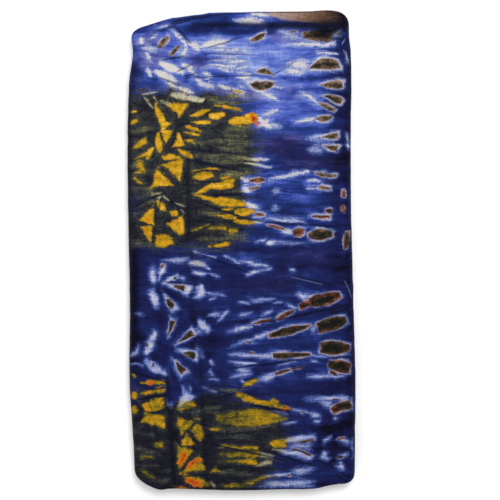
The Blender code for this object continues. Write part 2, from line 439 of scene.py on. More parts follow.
def chartPlaces(points, firstOuter):
    # where each place falls on the pattern, in millimetres: as seen from above, and turned back past the sides
    x, y = points[:, :, 0].copy(), points[:, :, 1].copy()
    outer = x[firstOuter:]
    steps = np.diff(points[firstOuter:], axis=0)
    distance = np.concatenate([np.zeros((1, x.shape[1])), np.cumsum(np.linalg.norm(steps, axis=2), axis=0)])
    leftmost = cloth["sideSteps"] - cloth["turnBackStep"]
    widest = leftmost + 2 * cloth["turnBackStep"] + faceSteps()
    index = np.arange(len(outer))[:, None]
    outer = np.where(index > widest, outer[widest] - (distance - distance[widest]), outer)
    outer = np.where(index < leftmost, outer[leftmost] + (distance[leftmost] - distance), outer)
    x[firstOuter:] = outer
    return x / mm, y / mm


def latticeFaces(columnCoarse, rowCoarse, fineColumns, fineRows):
    # faces of a grid that is fine in one patch and coarse elsewhere, with the patch's edge points taken in
    faces = []
    firstColumn, lastColumn = fineColumns
    firstRow, lastRow = fineRows
    for i in range(firstColumn, lastColumn):
        for j in range(firstRow, lastRow):
            faces.append([(i, j), (i + 1, j), (i + 1, j + 1), (i, j + 1)])
    columns = [i for i, coarse in enumerate(columnCoarse) if coarse]
    rows = [j for j, coarse in enumerate(rowCoarse) if coarse]
    for i0, i1 in zip(columns, columns[1:]):
        insideColumns = firstColumn <= i0 and i1 <= lastColumn
        for j0, j1 in zip(rows, rows[1:]):
            insideRows = firstRow <= j0 and j1 <= lastRow
            if insideColumns and insideRows:
                continue
            alongBottom = range(i0, i1) if insideColumns and j0 == lastRow else [i0]
            alongTop = range(i1, i0, -1) if insideColumns and j1 == firstRow else [i1]
            upRight = range(j0, j1) if insideRows and i1 == firstColumn else [j0]
            downLeft = range(j1, j0, -1) if insideRows and i0 == lastColumn else [j1]
            face = [(i, j0) for i in alongBottom] + [(i1, j) for j in upRight]
            faces.append(face + [(i, j1) for i in alongTop] + [(i0, j) for j in downLeft])
    return faces


def clothSheets(spots, firstOuter, runs):
    # the middle of the doubled cloth with the face's creases, the sunk one that its hidden side follows,
    # the normals, and where each place falls on the pattern
    middle, share = clothMiddle(spots, runs)
    chartX, chartY = chartPlaces(middle, firstOuter)
    relief = faceRelief(chartX, chartY) * mm
    facing = np.clip(share * 1.6 - 0.4, 0, 1) * (np.arange(len(spots)) >= firstOuter)[:, None]
    nearEnd, farEnd = cloth["hiddenFrom"]
    fromEnds = np.minimum(runs, runs[-1] - runs)
    sunk = (facing * eased((fromEnds - nearEnd) / (farEnd - nearEnd)))[:, :, None]
    normals = surfaceNormals(middle)
    lowered = middle - normals * cloth["hiddenDrop"]
    middle = middle + normals * (relief * facing)[:, :, None]
    hidden = middle * (1 - sunk) + lowered * sunk
    return middle, hidden, surfaceNormals(middle), np.stack([chartX, chartY], axis=2)


# A row round the doubled cloth: its run, how far it stands off the middle, and how far past the folded edge
RingRow = namedtuple("RingRow", "run offset past coarse")


def doubledRing(runCoarse):
    # the outer ply, the folded edge, the under ply and back inside, with its first row again at the end
    half, gap = cloth["plyThickness"] + cloth["plyGap"] / 2, cloth["plyGap"] / 2
    steps = cloth["foldedEdgeSteps"]
    coarseRuns = [run for run, coarse in enumerate(runCoarse) if coarse]
    ring = [RingRow(run, half, 0.0, runCoarse[run]) for run in reversed(range(len(runCoarse)))]
    for step in range(1, steps):
        turn = math.pi * step / steps
        ring.append(RingRow(0, half * math.cos(turn), half * math.sin(turn), True))
    ring += [RingRow(run, -half, 0.0, True) for run in coarseRuns]
    ring += [RingRow(run, -gap, 0.0, True) for run in reversed(coarseRuns)]
    ring.append(RingRow(0, 0.0, gap, True))
    ring += [RingRow(run, gap, 0.0, True) for run in coarseRuns]
    return ring + ring[:1], len(coarseRuns)


def rawEndRows(ring, count, lastFine):
    # the rows that bound each face of a raw end, for both plies and the folded edge between them
    coarse = [j for j, row in enumerate(ring) if row.coarse]
    turned = count + cloth["foldedEdgeSteps"] - 1
    outerPly, folded = coarse[:count], coarse[count:turned]
    underPly, underInside = coarse[turned : turned + count], coarse[turned + count : turned + 2 * count]
    hairpin = coarse[turned + 2 * count]
    outerInside = coarse[turned + 2 * count + 1 : turned + 3 * count + 1]
    rows = []
    for outside, inside in ((outerPly, outerInside[::-1]), (underPly[::-1], underInside)):
        rows += [list(bounds) for bounds in zip(outside, outside[1:], inside[1:], inside)]
    rows = [bounds[::-1] if bounds[0] > lastFine else bounds for bounds in rows]
    return rows + [[outerPly[-1]] + folded + [underPly[0], underInside[-1], hairpin, outerInside[0]]]


def rawEndFaces(endRows, lastColumn, lastFine):
    # the raw ends at the strip's start and at its loose end, which takes in the fine rows of its face
    faces = [[(0, j) for j in rows] for rows in endRows]
    for rows in endRows:
        rows, loop = rows[::-1], []
        for j, nextJ in zip(rows, rows[1:] + rows[:1]):
            step = 1 if nextJ > j else -1
            stop = nextJ if max(j, nextJ) <= lastFine else j + step
            loop += [(lastColumn, k) for k in range(j, stop, step)]
        faces.append(loop)
    return faces


def dressedCloth():
    # places, their spots on the pattern and on the flat strip, and the faces between them
    spots, firstOuter = foldedSection()
    runs, runCoarse = stationRuns()
    middle, hidden, normals, chartPlace = clothSheets(spots, firstOuter, runs)
    ring, count = doubledRing(runCoarse)
    lastColumn, lastRun = len(spots) - 1, len(runs) - 1
    columnCoarse, rowCoarse = [s.coarse for s in spots], [row.coarse for row in ring]
    faces = latticeFaces(columnCoarse, rowCoarse, (firstOuter, lastColumn), (0, lastRun))
    capsFrom = len(faces)
    faces += rawEndFaces(rawEndRows(ring, count, lastRun), lastColumn, lastRun)

    outwards = -np.gradient(middle, axis=1)[:, 0]
    outwards /= np.linalg.norm(outwards, axis=1, keepdims=True)
    steps = np.linalg.norm(np.diff(middle[:, lastRun // 2], axis=0), axis=1)
    along = np.cumsum(np.concatenate([[0], steps]))
    index, places, chart, flat, polygons = {}, [], [], [], []
    for face in faces:
        polygon = []
        for i, j in face:
            key = (i, j % (len(ring) - 1))  # the ring's last row is its first
            if key not in index:
                run, offset, past, _ = ring[key[1]]
                index[key] = len(places)
                sheet = middle if offset == ring[0].offset else hidden
                places.append(sheet[i, run] + normals[i, run] * offset + outwards[i] * past)
                chart.append(chartPlace[i, run])
                flat.append((along[i], runs[run] if offset > 0 else 2 * runs[-1] - runs[run], spots[i].layer))
            polygon.append(index[key])
        polygons.append(polygon)
    lastFace = firstOuter + 2 * cloth["sideSteps"] + faceSteps()
    layout = SimpleNamespace(
        faces=faces, capsFrom=capsFrom, along=along, ring=ring, firstOuter=firstOuter, lastFace=lastFace
    )
    return np.array(places), np.array(chart), np.array(flat), polygons, layout


# The map of the finished cloth: where each part starts and how far it runs, as shares of the map
bakeMap = {
    "face": (0.005, 0.60),
    "underside": (0.615, 0.18),
    "inside": (0.805, 0.17),
    "height": (0.005, 0.99),
    "startEnd": 0.985,
    "looseEnd": 0.992,
    "endScale": 5,
}


def bakeCorners(layout):
    along, ring, firstOuter, lastFace = layout.along, layout.ring, layout.firstOuter, layout.lastFace
    lastRun = ring[0].run

    def spread(part, place, whole):
        start, reach = bakeMap[part]
        return start + reach * place / whole

    corners = []
    for number, face in enumerate(layout.faces):
        onPatch = all(i >= firstOuter and j <= lastRun for i, j in face)
        onFace = onPatch and all(i <= lastFace for i, j in face)
        for i, j in face:
            if number >= layout.capsFrom:
                start = bakeMap["startEnd" if i == 0 else "looseEnd"]
                across = start + bakeMap["endScale"] * (ring[j].offset + ring[j].past)
                corners.append((across, spread("height", ring[j].run, lastRun)))
            elif onFace:
                across = spread("face", along[i] - along[firstOuter], along[lastFace] - along[firstOuter])
                corners.append((across, spread("height", j, lastRun)))
            elif onPatch:
                across = spread("underside", along[i] - along[lastFace], along[-1] - along[lastFace])
                corners.append((across, spread("height", j, lastRun)))
            else:
                across = spread("inside", j, len(ring) - 1)
                corners.append((across, spread("height", along[i], along[-1])))
    return corners


# Marks of the dye, charted in millimetres from the face's middle. Each one runs from x0 y0 to
# x1 y1, has a width at its start, middle and end, and bend bows it
Mark = namedtuple("Mark", "x0 y0 x1 y1 start middle end bend", defaults=(0,))


def marks(rows):
    return [Mark(*row) for row in rows]


# Undyed petals, blots and streaks
petals = marks([
    (-97, 225, -69, 211, 5, 10, 4),
    (-71, 223, -58, 216, 2, 7, 3),
    (-63, 216, -53, 209, 2, 5, 2),
    (-104, 216, -76, 200, 3, 10, 5),
    (-113, 218, -107, 208, 2, 6, 2),
    (-114, 237, -108, 227, 2, 6, 2),
    (-121, 255, -117, 247, 1, 5, 2),
    (-47, 212, -33, 206, 2, 6, 3),
    (-51, 200, -34, 195, 2, 6, 3),
    (-77, 194, -56, 187, 2, 7, 3),
    (-30, 217, -8, 214, 1, 6, 2),
    (-16, 226, 8, 226, 1, 5, 1),
    (-40, 245, -18, 243, 1, 4, 2),
    (-6, 206, 10, 206, 1, 4, 2),
    (-58, 206, -44, 200, 2, 5, 2),
    (-90, 200, -72, 192, 1, 4, 2),
    (-29, 198, -11, 192, 2, 6, 3),
    (-12, 194, 4, 186, 2, 7, 3),
    (-83, 187, -62, 181, 3, 9, 6),
    (-66, 182, -44, 179, 6, 7, 3),
    (-118, 186, -97, 189, 0.6, 2, 1),
    (-116, 184, -105, 171, 0.6, 2, 1),
    (-95, 180, -84, 173, 1, 4, 5),
    (-104, 184, -99, 178, 0.6, 1.6, 0.6),
    (-94, 68, -106, 66, 0.8, 1.6, 0.6),
    (-93, 66, -85, 58, 0.6, 1.8, 1),
    (-95, 65, -99, 58, 0.6, 1.4, 0.6),
    (-80, 57, -67, 54, 0.6, 1.8, 0.8),
    (-72, 50, -67, 44, 0.6, 1.6, 0.8),
    (-63, 248, -49, 239, 3, 8, 3),
    (-50, 242, -12, 252, 3, 9, 2, 1),
    (-99, 267, -87, 270, 1, 4, 2),
    (-83, 262, -73, 255, 1, 4, 3),
    (-75, 257, -65, 246, 3, 4, 4),
    (-66, 248, -64, 239, 4, 5, 4),
    (-64, 241, -71, 231, 4, 5, 2),
    (-108, 252, -99, 257, 1, 4, 1),
    (-39, 226, -3, 232, 1, 5, 2),
    (-38, 221, -6, 221, 1, 5, 2),
    (-34, 239, 10, 238, 1, 3, 1),
    (-6, 217, 10, 221, 1, 3, 1),
    (-8, 214, 12, 210, 1, 4, 2),
    (64, 153, 88, 158, 1, 5, 4),
    (54, 215, 74, 212, 2, 7, 3),
    (7, 203, 12, 195, 3, 5, 3),
    (124, 238, 127, 222, 1, 2, 1),
    (54, 245, 114, 248, 2, 6, 4, -1),
    (90, 236, 116, 234, 1, 3, 1),
    (111, 256, 120, 262, 3, 6, 3),
    (22, 190, 46, 179, 3, 5, 1),
    (71, 189, 82, 184, 1, 3, 3),
    (80, 185, 95, 174, 3, 4, 1),
    (20, 157, 37, 146, 7, 8, 2),
    (20, 147, 34, 158, 3, 6, 1),
    (26, 161, 46, 169, 1, 3, 1),
    (-1, 86, 12, 82, 3, 6, 3),
    (2, 74, 12, 70, 3, 6, 2),
    (127, 138, 127.5, 122, 1, 2.5, 1),
    (4, 108, 36, 110, 1, 3, 1),
    (6, 104, 36, 100, 1, 4, 1),
    (33, 85, 80, 94, 1, 5, 3, 1),
    (0, 60, 22, 50, 3, 7, 3),
    (14, 40, 29, 40, 2, 3, 1),
    (12, 35, 28, 34, 3, 4, 1),
    (30, 38, 76, 34, 1, 4, 1),
    (48, 24, 62, 22, 3, 8, 5),
    (78, 84, 93, 83, 2, 3, 2),
    (78, 74, 93, 74, 2, 3, 2),
    (30, 10, 41, 10, 3, 7, 2),
    (17, 11, 31, 15, 1, 3, 1),
    (-55, -1, -30, -9, 1, 2, 1),
    (-21, -6, 1, -15, 1, 3, 1),
    (-62, -14, -42, -17, 3, 7, 4),
    (-45, -16, -37, -22, 2, 4, 2),
    (-58, -24, -42, -28, 3, 6, 4),
    (-44, -25, -25, -31, 1, 3, 1),
    (-105, -24, -105, -39, 4, 8, 5),
    (-107, -47, -100, -65, 5, 9, 5),
    (-98, -34, -92, -16, 1, 5, 6),
    (-93, -40, -74, -28, 2, 6, 3),
    (-73, -31, -67, -35, 2, 4, 2),
    (-91, -39.5, -60, -48, 0, 8, 15),
    (-47, -40, -54, -57, 3, 9, 4, 4),
    (-94.5, -48, -77, -73, 0, 8, 13),
    (-82, -79, -86, -105, 9, 7, 1),
    (-50, -82, -37, -96, 3, 9, 4),
    (-39, -77, -25, -75, 1, 3, 1),
    (-45, -50, -20, -53, 1, 3, 1),
    (-38, -58, -30, -56, 1, 2, 1),
    (-16, -72, -29, -85, 1, 3, 1),
    (-79, -113, -54, -93, 1, 8, 12),
    (-78, -118, -50, -126, 1, 8, 14),
    (-83, -126, -67, -149, 1, 9, 14),
    (-102, -95, -114, -123, 2, 10, 4),
    (-116, -130, -88, -148, 8, 11, 3),
    (-121, -112, -126, -121, 2, 4, 3),
    (-126, -120, -133, -126, 3, 2, 1),
    (-133, -137, -117, -138, 2, 2.5, 3, 3),
    (-37, -132, -34, -137, 2, 3, 2),
    (-37, -143, -33, -149, 2, 3, 2),
    (-16, -97, 10, -92, 1, 4, 3),
    (-12, -112, 2, -111, 1, 3, 2),
    (-14, -123, 4, -123, 1, 3, 2),
    (-14, -132, 20, -136, 1, 4, 2, 1),
    (-12, -150, 14, -146, 1, 5, 2),
    (-70, -160, -69, -170, 2, 4, 3),
    (-74, -190, -61, -169, 5, 13, 15),
    (-61, -160, -61, -168, 1, 2, 1),
    (-47, -161, -39, -164, 1, 1.5, 1),
    (-37, -166, -29, -168, 1, 1.5, 1),
    (-36, -154, -29, -155, 1, 1.5, 1),
    (-2, -11, 32, -18, 1, 4, 1),
    (6, -29, 20, -23, 2, 6, 3),
    (18, -24, 37, -21, 3, 2, 1),
    (58, -22, 63, -22, 2, 3, 2),
    (12, -59, 41, -57, 1, 3, 2),
    (-1, -61, 11, -63, 1, 3, 1),
    (-2, -77, 13, -73, 1, 3, 1),
    (23, -78, 38, -70, 1, 3, 2),
    (39, -62, 49, -61, 1, 3, 1),
    (54, -63, 67, -69, 2, 4, 3),
    (70, -50, 78, -62, 2, 5, 3),
    (-8, -94, 14, -90, 2, 5, 2),
    (-8, -113, 20, -103, 1, 4, 4),
    (16, -104, 36, -97, 4, 6, 4),
    (-8, -123, 38, -126, 2, 5, 6),
    (84, -125, 101, -126, 3, 4, 3),
    (83, -132, 92, -132, 2, 4, 2),
    (42, -138, 66, -131, 1, 2, 1),
    (20, -154, 46, -145, 3, 8, 4),
    (0, -153, 6, -157, 2, 4, 2),
    (90, -149, 124, -149, 1, 5, 3),
    (78, -151, 98, -150, 2, 4, 3),
    (80, -177, 128, -176, 2, 6, 4),
    (131, -175, 133, -190, 2, 2, 2),
    (60, -190, 88, -193, 3, 3, 1),
    (84, -196, 94, -196, 3, 6, 4),
    (87, -202, 93, -203, 2, 3, 2),
    (110, -200, 114, -201, 2, 3, 2),
    (38, -192, 56, -194, 1, 2, 1),
    (50, -207, 66, -203, 1, 2, 1),
    (48, -226, 89, -222, 3, 9, 8),
    (38, -235, 86, -247, 1, 6, 9),
    (20, -242, 38, -246, 6, 6, 3),
    (18, -255, 37, -252, 3, 5, 4),
    (28, -271, 62, -265, 3, 5, 3),
    (98, -228, 109, -222, 3, 4, 3),
    (96, -245, 107, -249, 3, 4, 3),
    (99, -239, 100, -246, 2, 4, 4),
    (115, -224, 129, -229, 3, 5, 3),
    (115, -247, 128, -241, 3, 5, 3),
    (132, -224, 133, -246, 1, 1.5, 1),
    (118, -251, 122, -260, 2, 4, 2),
    (-36, -275, -31, -282, 3, 4, 3),
    (-10, 276, 26, 274, 2, 8, 4),
    (12, 282, 34, 279, 3, 6, 3),
    (94, 282, 108, 284, 1, 3, 2),
    (124, 268, 128, 262, 1, 2, 1),
])

# Soft pale blue hazes
hazes = marks([
    (-38, 237, 4, 236, 4, 9, 3),
    (-36, 222, 6, 220, 4, 10, 4),
    (-60, 212, -30, 204, 3, 8, 3),
    (-10, 204, 10, 190, 4, 10, 6),
    (-44, 256, -16, 256, 2, 5, 2),
    (-8, 199, 6, 199, 3, 8, 4),
    (4, 213, 20, 210, 5, 8, 5),
    (-128, -75, -112, -77, 1, 4, 1),
    (-106, -13, -104, -42, 3, 7, 4),
    (-109, -45, -99, -69, 4, 9, 5),
    (-50, -38, -50, -58, 5, 11, 6),
    (-52, -112, -46, -128, 5, 8, 5),
    (42, 262, 76, 251, 4, 12, 5),
    (50, 221, 84, 221, 4, 20, 15),
    (62, 228, 80, 226, 5, 9, 6),
    (54, 214, 84, 214, 4, 7, 5),
    (36, 196, 54, 194, 9, 9, 3),
    (22, 152, 54, 146, 12, 14, 4),
    (24, 160, 46, 166, 5, 8, 2),
    (76, 134, 100, 134, 3, 10, 8),
    (76, 121, 100, 121, 3, 10, 8),
    (-4, 84, 12, 82, 6, 9, 7),
    (0, 80, 11, 68, 7, 9, 6),
    (36, 71, 48, 71, 8, 11, 8),
    (35, 51, 47, 51, 8, 11, 8),
    (4, 54, 26, 46, 6, 12, 6),
    (30, 39, 78, 37, 3, 8, 3),
    (36, 10, 84, 8, 6, 5, 1),
    (64, -50, 90, -60, 3, 11, 6),
    (80, -90, 93, -96, 5, 10, 8),
    (-8, -140, 14, -146, 5, 12, 8),
    (76, -150, 100, -150, 3, 6, 4),
    (74, -176, 104, -177, 3, 7, 5),
    (94, -178, 112, -186, 6, 9, 4),
    (50, -232, 86, -234, 5, 8, 10),
    (58, -264, 90, -260, 5, 9, 4),
    (18, -279, 92, -276, 4, 10, 4),
    (56, -281, 92, -280, 2, 5, 3),
    (112, -254, 126, -262, 4, 6, 3),
    (15, 279, 32, 280, 6, 8, 4),
    (-119, 246, -98, 236, 8, 14, 8),
    (-92, -180, -80, -190, 8, 12, 8),
    (-54, -92, -44, -99, 5, 8, 4),
    (108, 262, 121, 254, 6, 9, 4),
    (-95, -12, -60, -10, 3, 8, 3),
])

# Brown cores, with how far each one's pale surround stands out and how long its haze trails left
Core = namedtuple("Core", "x0 y0 x1 y1 start middle end halo tail bend", defaults=(2.5, 0, 0))
cores = [Core(*row) for row in [
    (-99, 241, -86, 255, 3, 6, 3),
    (-86, 232, -73, 244, 2, 5, 3),
    (12, 251, 30, 260.5, 2, 7, 1, 3, 12, -1.5),
    (74, 257, 110, 256.5, 7, 16, 14, 0.5, 24),
    (57, 261, 67, 261, 1, 3, 1, 2),
    (81, 217, 118, 220, 1, 13, 8, 4, 24, 4.5),
    (18, 213, 39, 209.5, 2, 7, 0, 3, 10, 2.5),
    (10, 199, 41, 200, 0, 12, 1, 3.5, 8, -3.2),
    (94, 197.5, 121, 198, 0, 8, 7, 3, 12),
    (97, 184.5, 119, 177, 0, 8, 8, 3, 8, 1.5),
    (93, 176.5, 112, 166, 1, 5, 2, 2.5, 6),
    (90, 157, 109, 159, 2, 6, 3, 3, 28),
    (98, 134, 116, 137, 1, 6, 6, 3, 14),
    (98, 126, 116, 122, 1, 5, 7, 3, 14),
    (11, 82, 29, 85, 3, 6, 3, 2, 14),
    (10, 73, 23, 76, 1, 3, 1, 2, 8),
    (89, 92, 113, 89, 3, 5, 3, 3, 12),
    (92, 76, 108, 74, 2, 4, 2, 3, 12),
    (123, 73, 123, 64, 3, 5, 3, 1),
    (122, 54, 122, 45, 3, 5, 3, 1),
    (84, 41, 106, 40, 2, 4, 3, 3, 10),
    (101, 47, 110, 47, 3, 6, 4, 2),
    (17, 44, 28, 42, 2, 4, 2, 3, 6),
    (32, 30, 52, 26, 1, 3, 2, 2, 6),
    (62, 21, 75, 23, 5, 8, 4, 3, 6),
    (80, 18, 109, 20, 6, 14, 7, 3, 6),
    (126, 24, 125, 3, 4, 8, 5, 1),
    (70, -66, 82, -62, 7, 9, 6, 2.5, 6),
    (81, -62, 119, -53, 8, 15, 8, 2.5, 3),
    (43, -81, 63, -71, 2, 5, 3, 3, 8),
    (14, -87, 37, -82, 1, 4, 2, 3, 8),
    (34, -101, 83, -89, 5, 9, 1, 3),
    (6, -110, 14, -108, 1, 2, 1, 2),
    (92, -93, 125, -82, 12, 16, 9, 3, 4),
    (94, -116, 130, -116, 10, 16, 8, 3, 6),
    (37, -125, 83, -124, 6, 7, 4, 3),
    (9, -121, 18, -122, 1, 2, 1, 2),
    (104, -134.5, 130, -140, 8, 13, 10, 3),
    (106, -144, 115, -147, 4, 5, 3, 3),
    (41, -147, 59, -142, 3, 4.5, 2, 3, 8),
    (59, -141, 76, -138, 2, 3, 1, 2),
    (109, -191, 131, -182, 8, 10, 8, 3),
    (109, -178, 117, -178, 2, 3, 2, 2),
    (72, -192, 77, -192, 1, 2, 1, 1),
    (64, -229, 86, -226, 1, 3, 3, 2),
    (60, -236, 84, -243, 2, 3, 3, 2),
    (115, -225, 123, -224, 2, 3, 2, 2),
    (113, -246, 121, -246, 2, 3, 2, 2),
    (32, -272, 46, -270, 1, 3, 1, 2),
    (56, -268, 61, -267, 1, 2, 1, 1),
    (-96, -21, -93, -17, 2, 3, 2, 1),
    (-81, -34, -77, -31, 2, 3, 2, 1),
    (-80, -42, -67, -45, 3, 6, 7, 1.5),
    (-88, -57, -81, -69, 3, 7, 5, 1.5),
    (-82, -83, -86, -101, 8, 5, 1, 1.5),
    (-75, -109, -57, -97, 1, 5, 8, 2),
    (-69, -121, -54, -126, 1, 6, 9, 2),
    (-77, -133, -68, -145, 2, 6, 9, 2),
    (-113, -110, -113, -114, 2, 3, 2, 1),
    (-107, -133, -105, -137, 1, 3, 2, 1),
]]

# The brown part of the rolled end, which darkens towards its corner
lipStain = Mark(33, 285, 128, 282, 12, 23, 28)

# Yellow and orange facets of the two darker zones
facets = marks([
    (-74, 158, -72, 176, 2, 10, 18),
    (-87, 175, -77, 168, 2, 6, 7),
    (-102, 177, -92, 149, 2, 8, 9),
    (-83, 153, -97, 149, 1, 8, 13),
    (-89.5, 128, -89, 143.5, 1, 9, 16),
    (-75, 140, -74, 124, 3, 9, 17),
    (-99, 140, -97, 116, 2, 8, 3),
    (-129, 122, -112, 133, 2, 8, 5),
    (-104, 124, -114, 108, 2, 7, 3),
    (-127, 109, -107, 118, 1, 5, 3),
    (-60, 161, -36, 168, 1, 6, 3),
    (-60, 153, -37, 154, 1, 5, 3),
    (-37, 160, -18, 162, 3, 9, 3),
    (-31, 174, 2, 167, 1, 4, 2),
    (-66, 149, -46, 142, 1, 4, 3),
    (-67, 141, -48, 137, 1, 4, 3),
    (-67, 132, -56, 131, 1, 4, 2),
    (-95, 111, -72, 110, 2, 8, 2, 2),
    (-76, 121, -57, 111, 1, 7, 3),
    (-74, 83, -81, 107, 1, 14, 29),
    (-81, 79, -104, 86, 1, 13, 28),
    (-103.5, 57, -111, 34, 1, 9, 19),
    (-107, 10, -112.5, 30, 1, 9, 17),
    (-101.5, 12, -81, 12, 17, 16, 8),
    (-79, 38, -71, 19, 22, 16, 7),
    (-87, 45, -74, 45, 3, 7, 4),
    (-100, 59, -90, 48, 2, 8, 2),
    (-129, 88, -117, 80, 2, 5, 2),
    (-125, 107, -113, 94, 3, 7, 3),
    (-129, 93, -113, 97, 1, 5, 3),
    (-60, 94, -44, 98, 1, 2.5, 2),
    (-45, 98, -26, 96, 2, 3, 1),
    (-58, 87, -32, 90, 3, 10, 3, 1),
    (-55, 68, -34, 76, 1, 5, 8),
    (-36, 76, -8, 79, 7, 8, 4),
    (-23, 84, -7, 83, 4, 7, 3),
    (-55, 67, -30, 60, 1, 5, 8),
    (-32, 60, 6, 56, 8, 9, 4),
    (-24, 49, -10, 50, 3, 6, 3),
    (-60, 24, -38, 31, 1, 3, 2, 1),
    (-40, 26, -16, 26, 2, 5, 3),
    (-14, 24, -4, 24, 3, 5, 2),
    (-40, 5, -13, 10, 1, 6, 3),
    (-32, 42, -6, 38, 1, 5, 6),
    (-9, 46, 17, 47, 6, 10, 4),
    (-9, 35, 17, 34, 3, 6, 3),
    (-14, 153, 12, 156, 4, 11, 11),
    (4, 157, 20, 158, 10, 13, 9),
    (-12, 191, 2, 187, 1, 3, 2),
    (-131, 152, -124, 155, 2, 5, 3),
    (-131, 166, -124, 165, 2, 4, 2),
    (-121, -157, -90, -157, 3, 6, 3),
    (-121, -171, -90, -167, 3, 6, 4),
    (-117, -187, -90, -181, 9, 15, 14),
    (-117, -199, -90, -204, 11, 14, 17),
    (-132, -149, -126, -148, 3, 7, 3),
    (-132, -173, -124, -173, 4, 9, 3),
    (-131, -187, -122, -193, 5, 9, 4),
    (-68, -186, -54, -180, 7, 10, 6),
    (-77, -190, -64, -186, 2, 4, 3),
    (-104, -231, -91, -231, 6, 8, 6),
    (-121, -247, -105, -246, 3, 5, 2),
    (-120, -261, -104, -271, 3, 6, 3),
    (-66, -201, -70, -219, 23, 14, 2),
    (-64, -217, -63, -231, 1, 10, 20),
    (-55, -208, -46, -225, 7, 13, 5),
    (-57, -199, -49, -200, 2, 4, 3),
    (-75, -262, -66, -233, 2, 12, 22),
    (-74, -266, -45, -251, 2, 11, 22),
    (-71, -268, -38, -280, 3, 11, 5),
    (-80, -281, -62, -283, 2, 4, 3),
    (-38, -212, -22, -213, 1, 6, 1),
    (-30, -255, -30, -264, 1, 8, 16),
    (-31, -199, 56, -199, 6, 21, 2),
    (-25, -233, 20, -236, 4, 6, 5),
    (-25, -243, 22, -242, 3, 8, 8),
    (-25, -250, 20, -251, 2, 6, 8),
    (34, -229, 53, -229, 3, 10, 7),
    (-8, -170, 14, -177, 3, 8, 7),
    (10, -176, 38, -184, 6, 8, 7),
    (37, -176, 45, -188, 5, 9, 5),
    (44, -184, 61, -190, 6, 5, 2),
    (0, -161, 20, -154, 2, 6, 4),
    (-24, -279, 6, -279, 1, 6, 4),
    (-4, -279, 31, -271, 2, 5, 3),
])

# Soft olive and yellow streaks in the darker zones
oliveStreaks = marks([
    (-129, 62, -104, 67, 1, 3, 2),
    (-119, 54, -99, 62, 1, 3, 2),
    (-60, 113, -10, 114, 1, 5, 2),
    (-45, 106, 4, 105, 1, 7, 4),
    (-34, 122, 6, 120, 1, 7, 5),
    (-60, 128, -8, 131, 1, 5, 2),
    (-24, 138, 8, 136, 1, 6, 4),
    (-16, 128, 14, 128, 3, 7, 5),
    (-18, 112, 8, 108, 3, 7, 5),
    (-20, 146, 14, 146, 2, 6, 4),
    (-44, 181, -2, 176, 1, 6, 3),
    (-22, 186, 8, 182, 1, 6, 3),
    (-24, 90, 8, 92, 2, 7, 5),
    (-14, 70, 6, 69, 1, 4, 4),
    (-50, 46, -24, 42, 1, 4, 3),
    (-50, 15, 10, 18, 1, 6, 3),
    (-10, 12, 24, 14, 2, 6, 2),
    (-133, 142, -106, 146, 3, 4, 1),
    (-133, 102, -118, 106, 3, 4, 2),
    (-133, 72, -106, 74, 2, 4, 1),
    (-131, 42, -118, 46, 2, 4, 1),
    (-133, 11, -104, 6, 3, 4, 2),
    (-48, -212, 44, -212, 1, 4, 2),
    (-32, -222, 20, -221, 1, 4, 2),
    (-30, -264, 12, -264, 1, 4, 2),
    (-130, -216, -98, -220, 2, 4, 1),
    (-130, -236, -92, -242, 2, 5, 2),
    (-128, -256, -96, -256, 1, 3, 1),
    (-60, -192, -24, -188, 1, 4, 2),
    (-36, -170, 2, -162, 1, 5, 3),
    (-98, -262, -82, -264, 1, 3, 1),
    (-98, -273, -84, -273, 1, 3, 1),
])

# Red hearts
hearts = marks([
    (11, 163, 19, 151, 3, 6, 3),
    (16, 158, 20, 150, 1, 3, 1),
    (-83, 102, -81, 102, 1, 2, 1),
    (-100, 88, -98, 88, 1, 2, 1),
    (-111, 38, -109, 38, 1, 2, 1),
    (-115, 24, -113, 24, 1, 2, 1),
    (-98, 16, -96, 16, 1, 2, 1),
    (-81, 35, -79, 35, 1, 2, 1),
    (-82, 91, -80, 91, 1, 1, 1),
    (-66, -239, -73, -255, 2, 5, 1),
    (-65, -260, -49, -248, 2, 4, 5),
    (-66, -271, -45, -280, 2, 6, 3),
    (-79, -282, -64, -283, 1, 2, 1),
    (50, -188, 57, -189, 1, 2, 1),
    (-112, -158, -104, -157, 1, 2, 1),
])
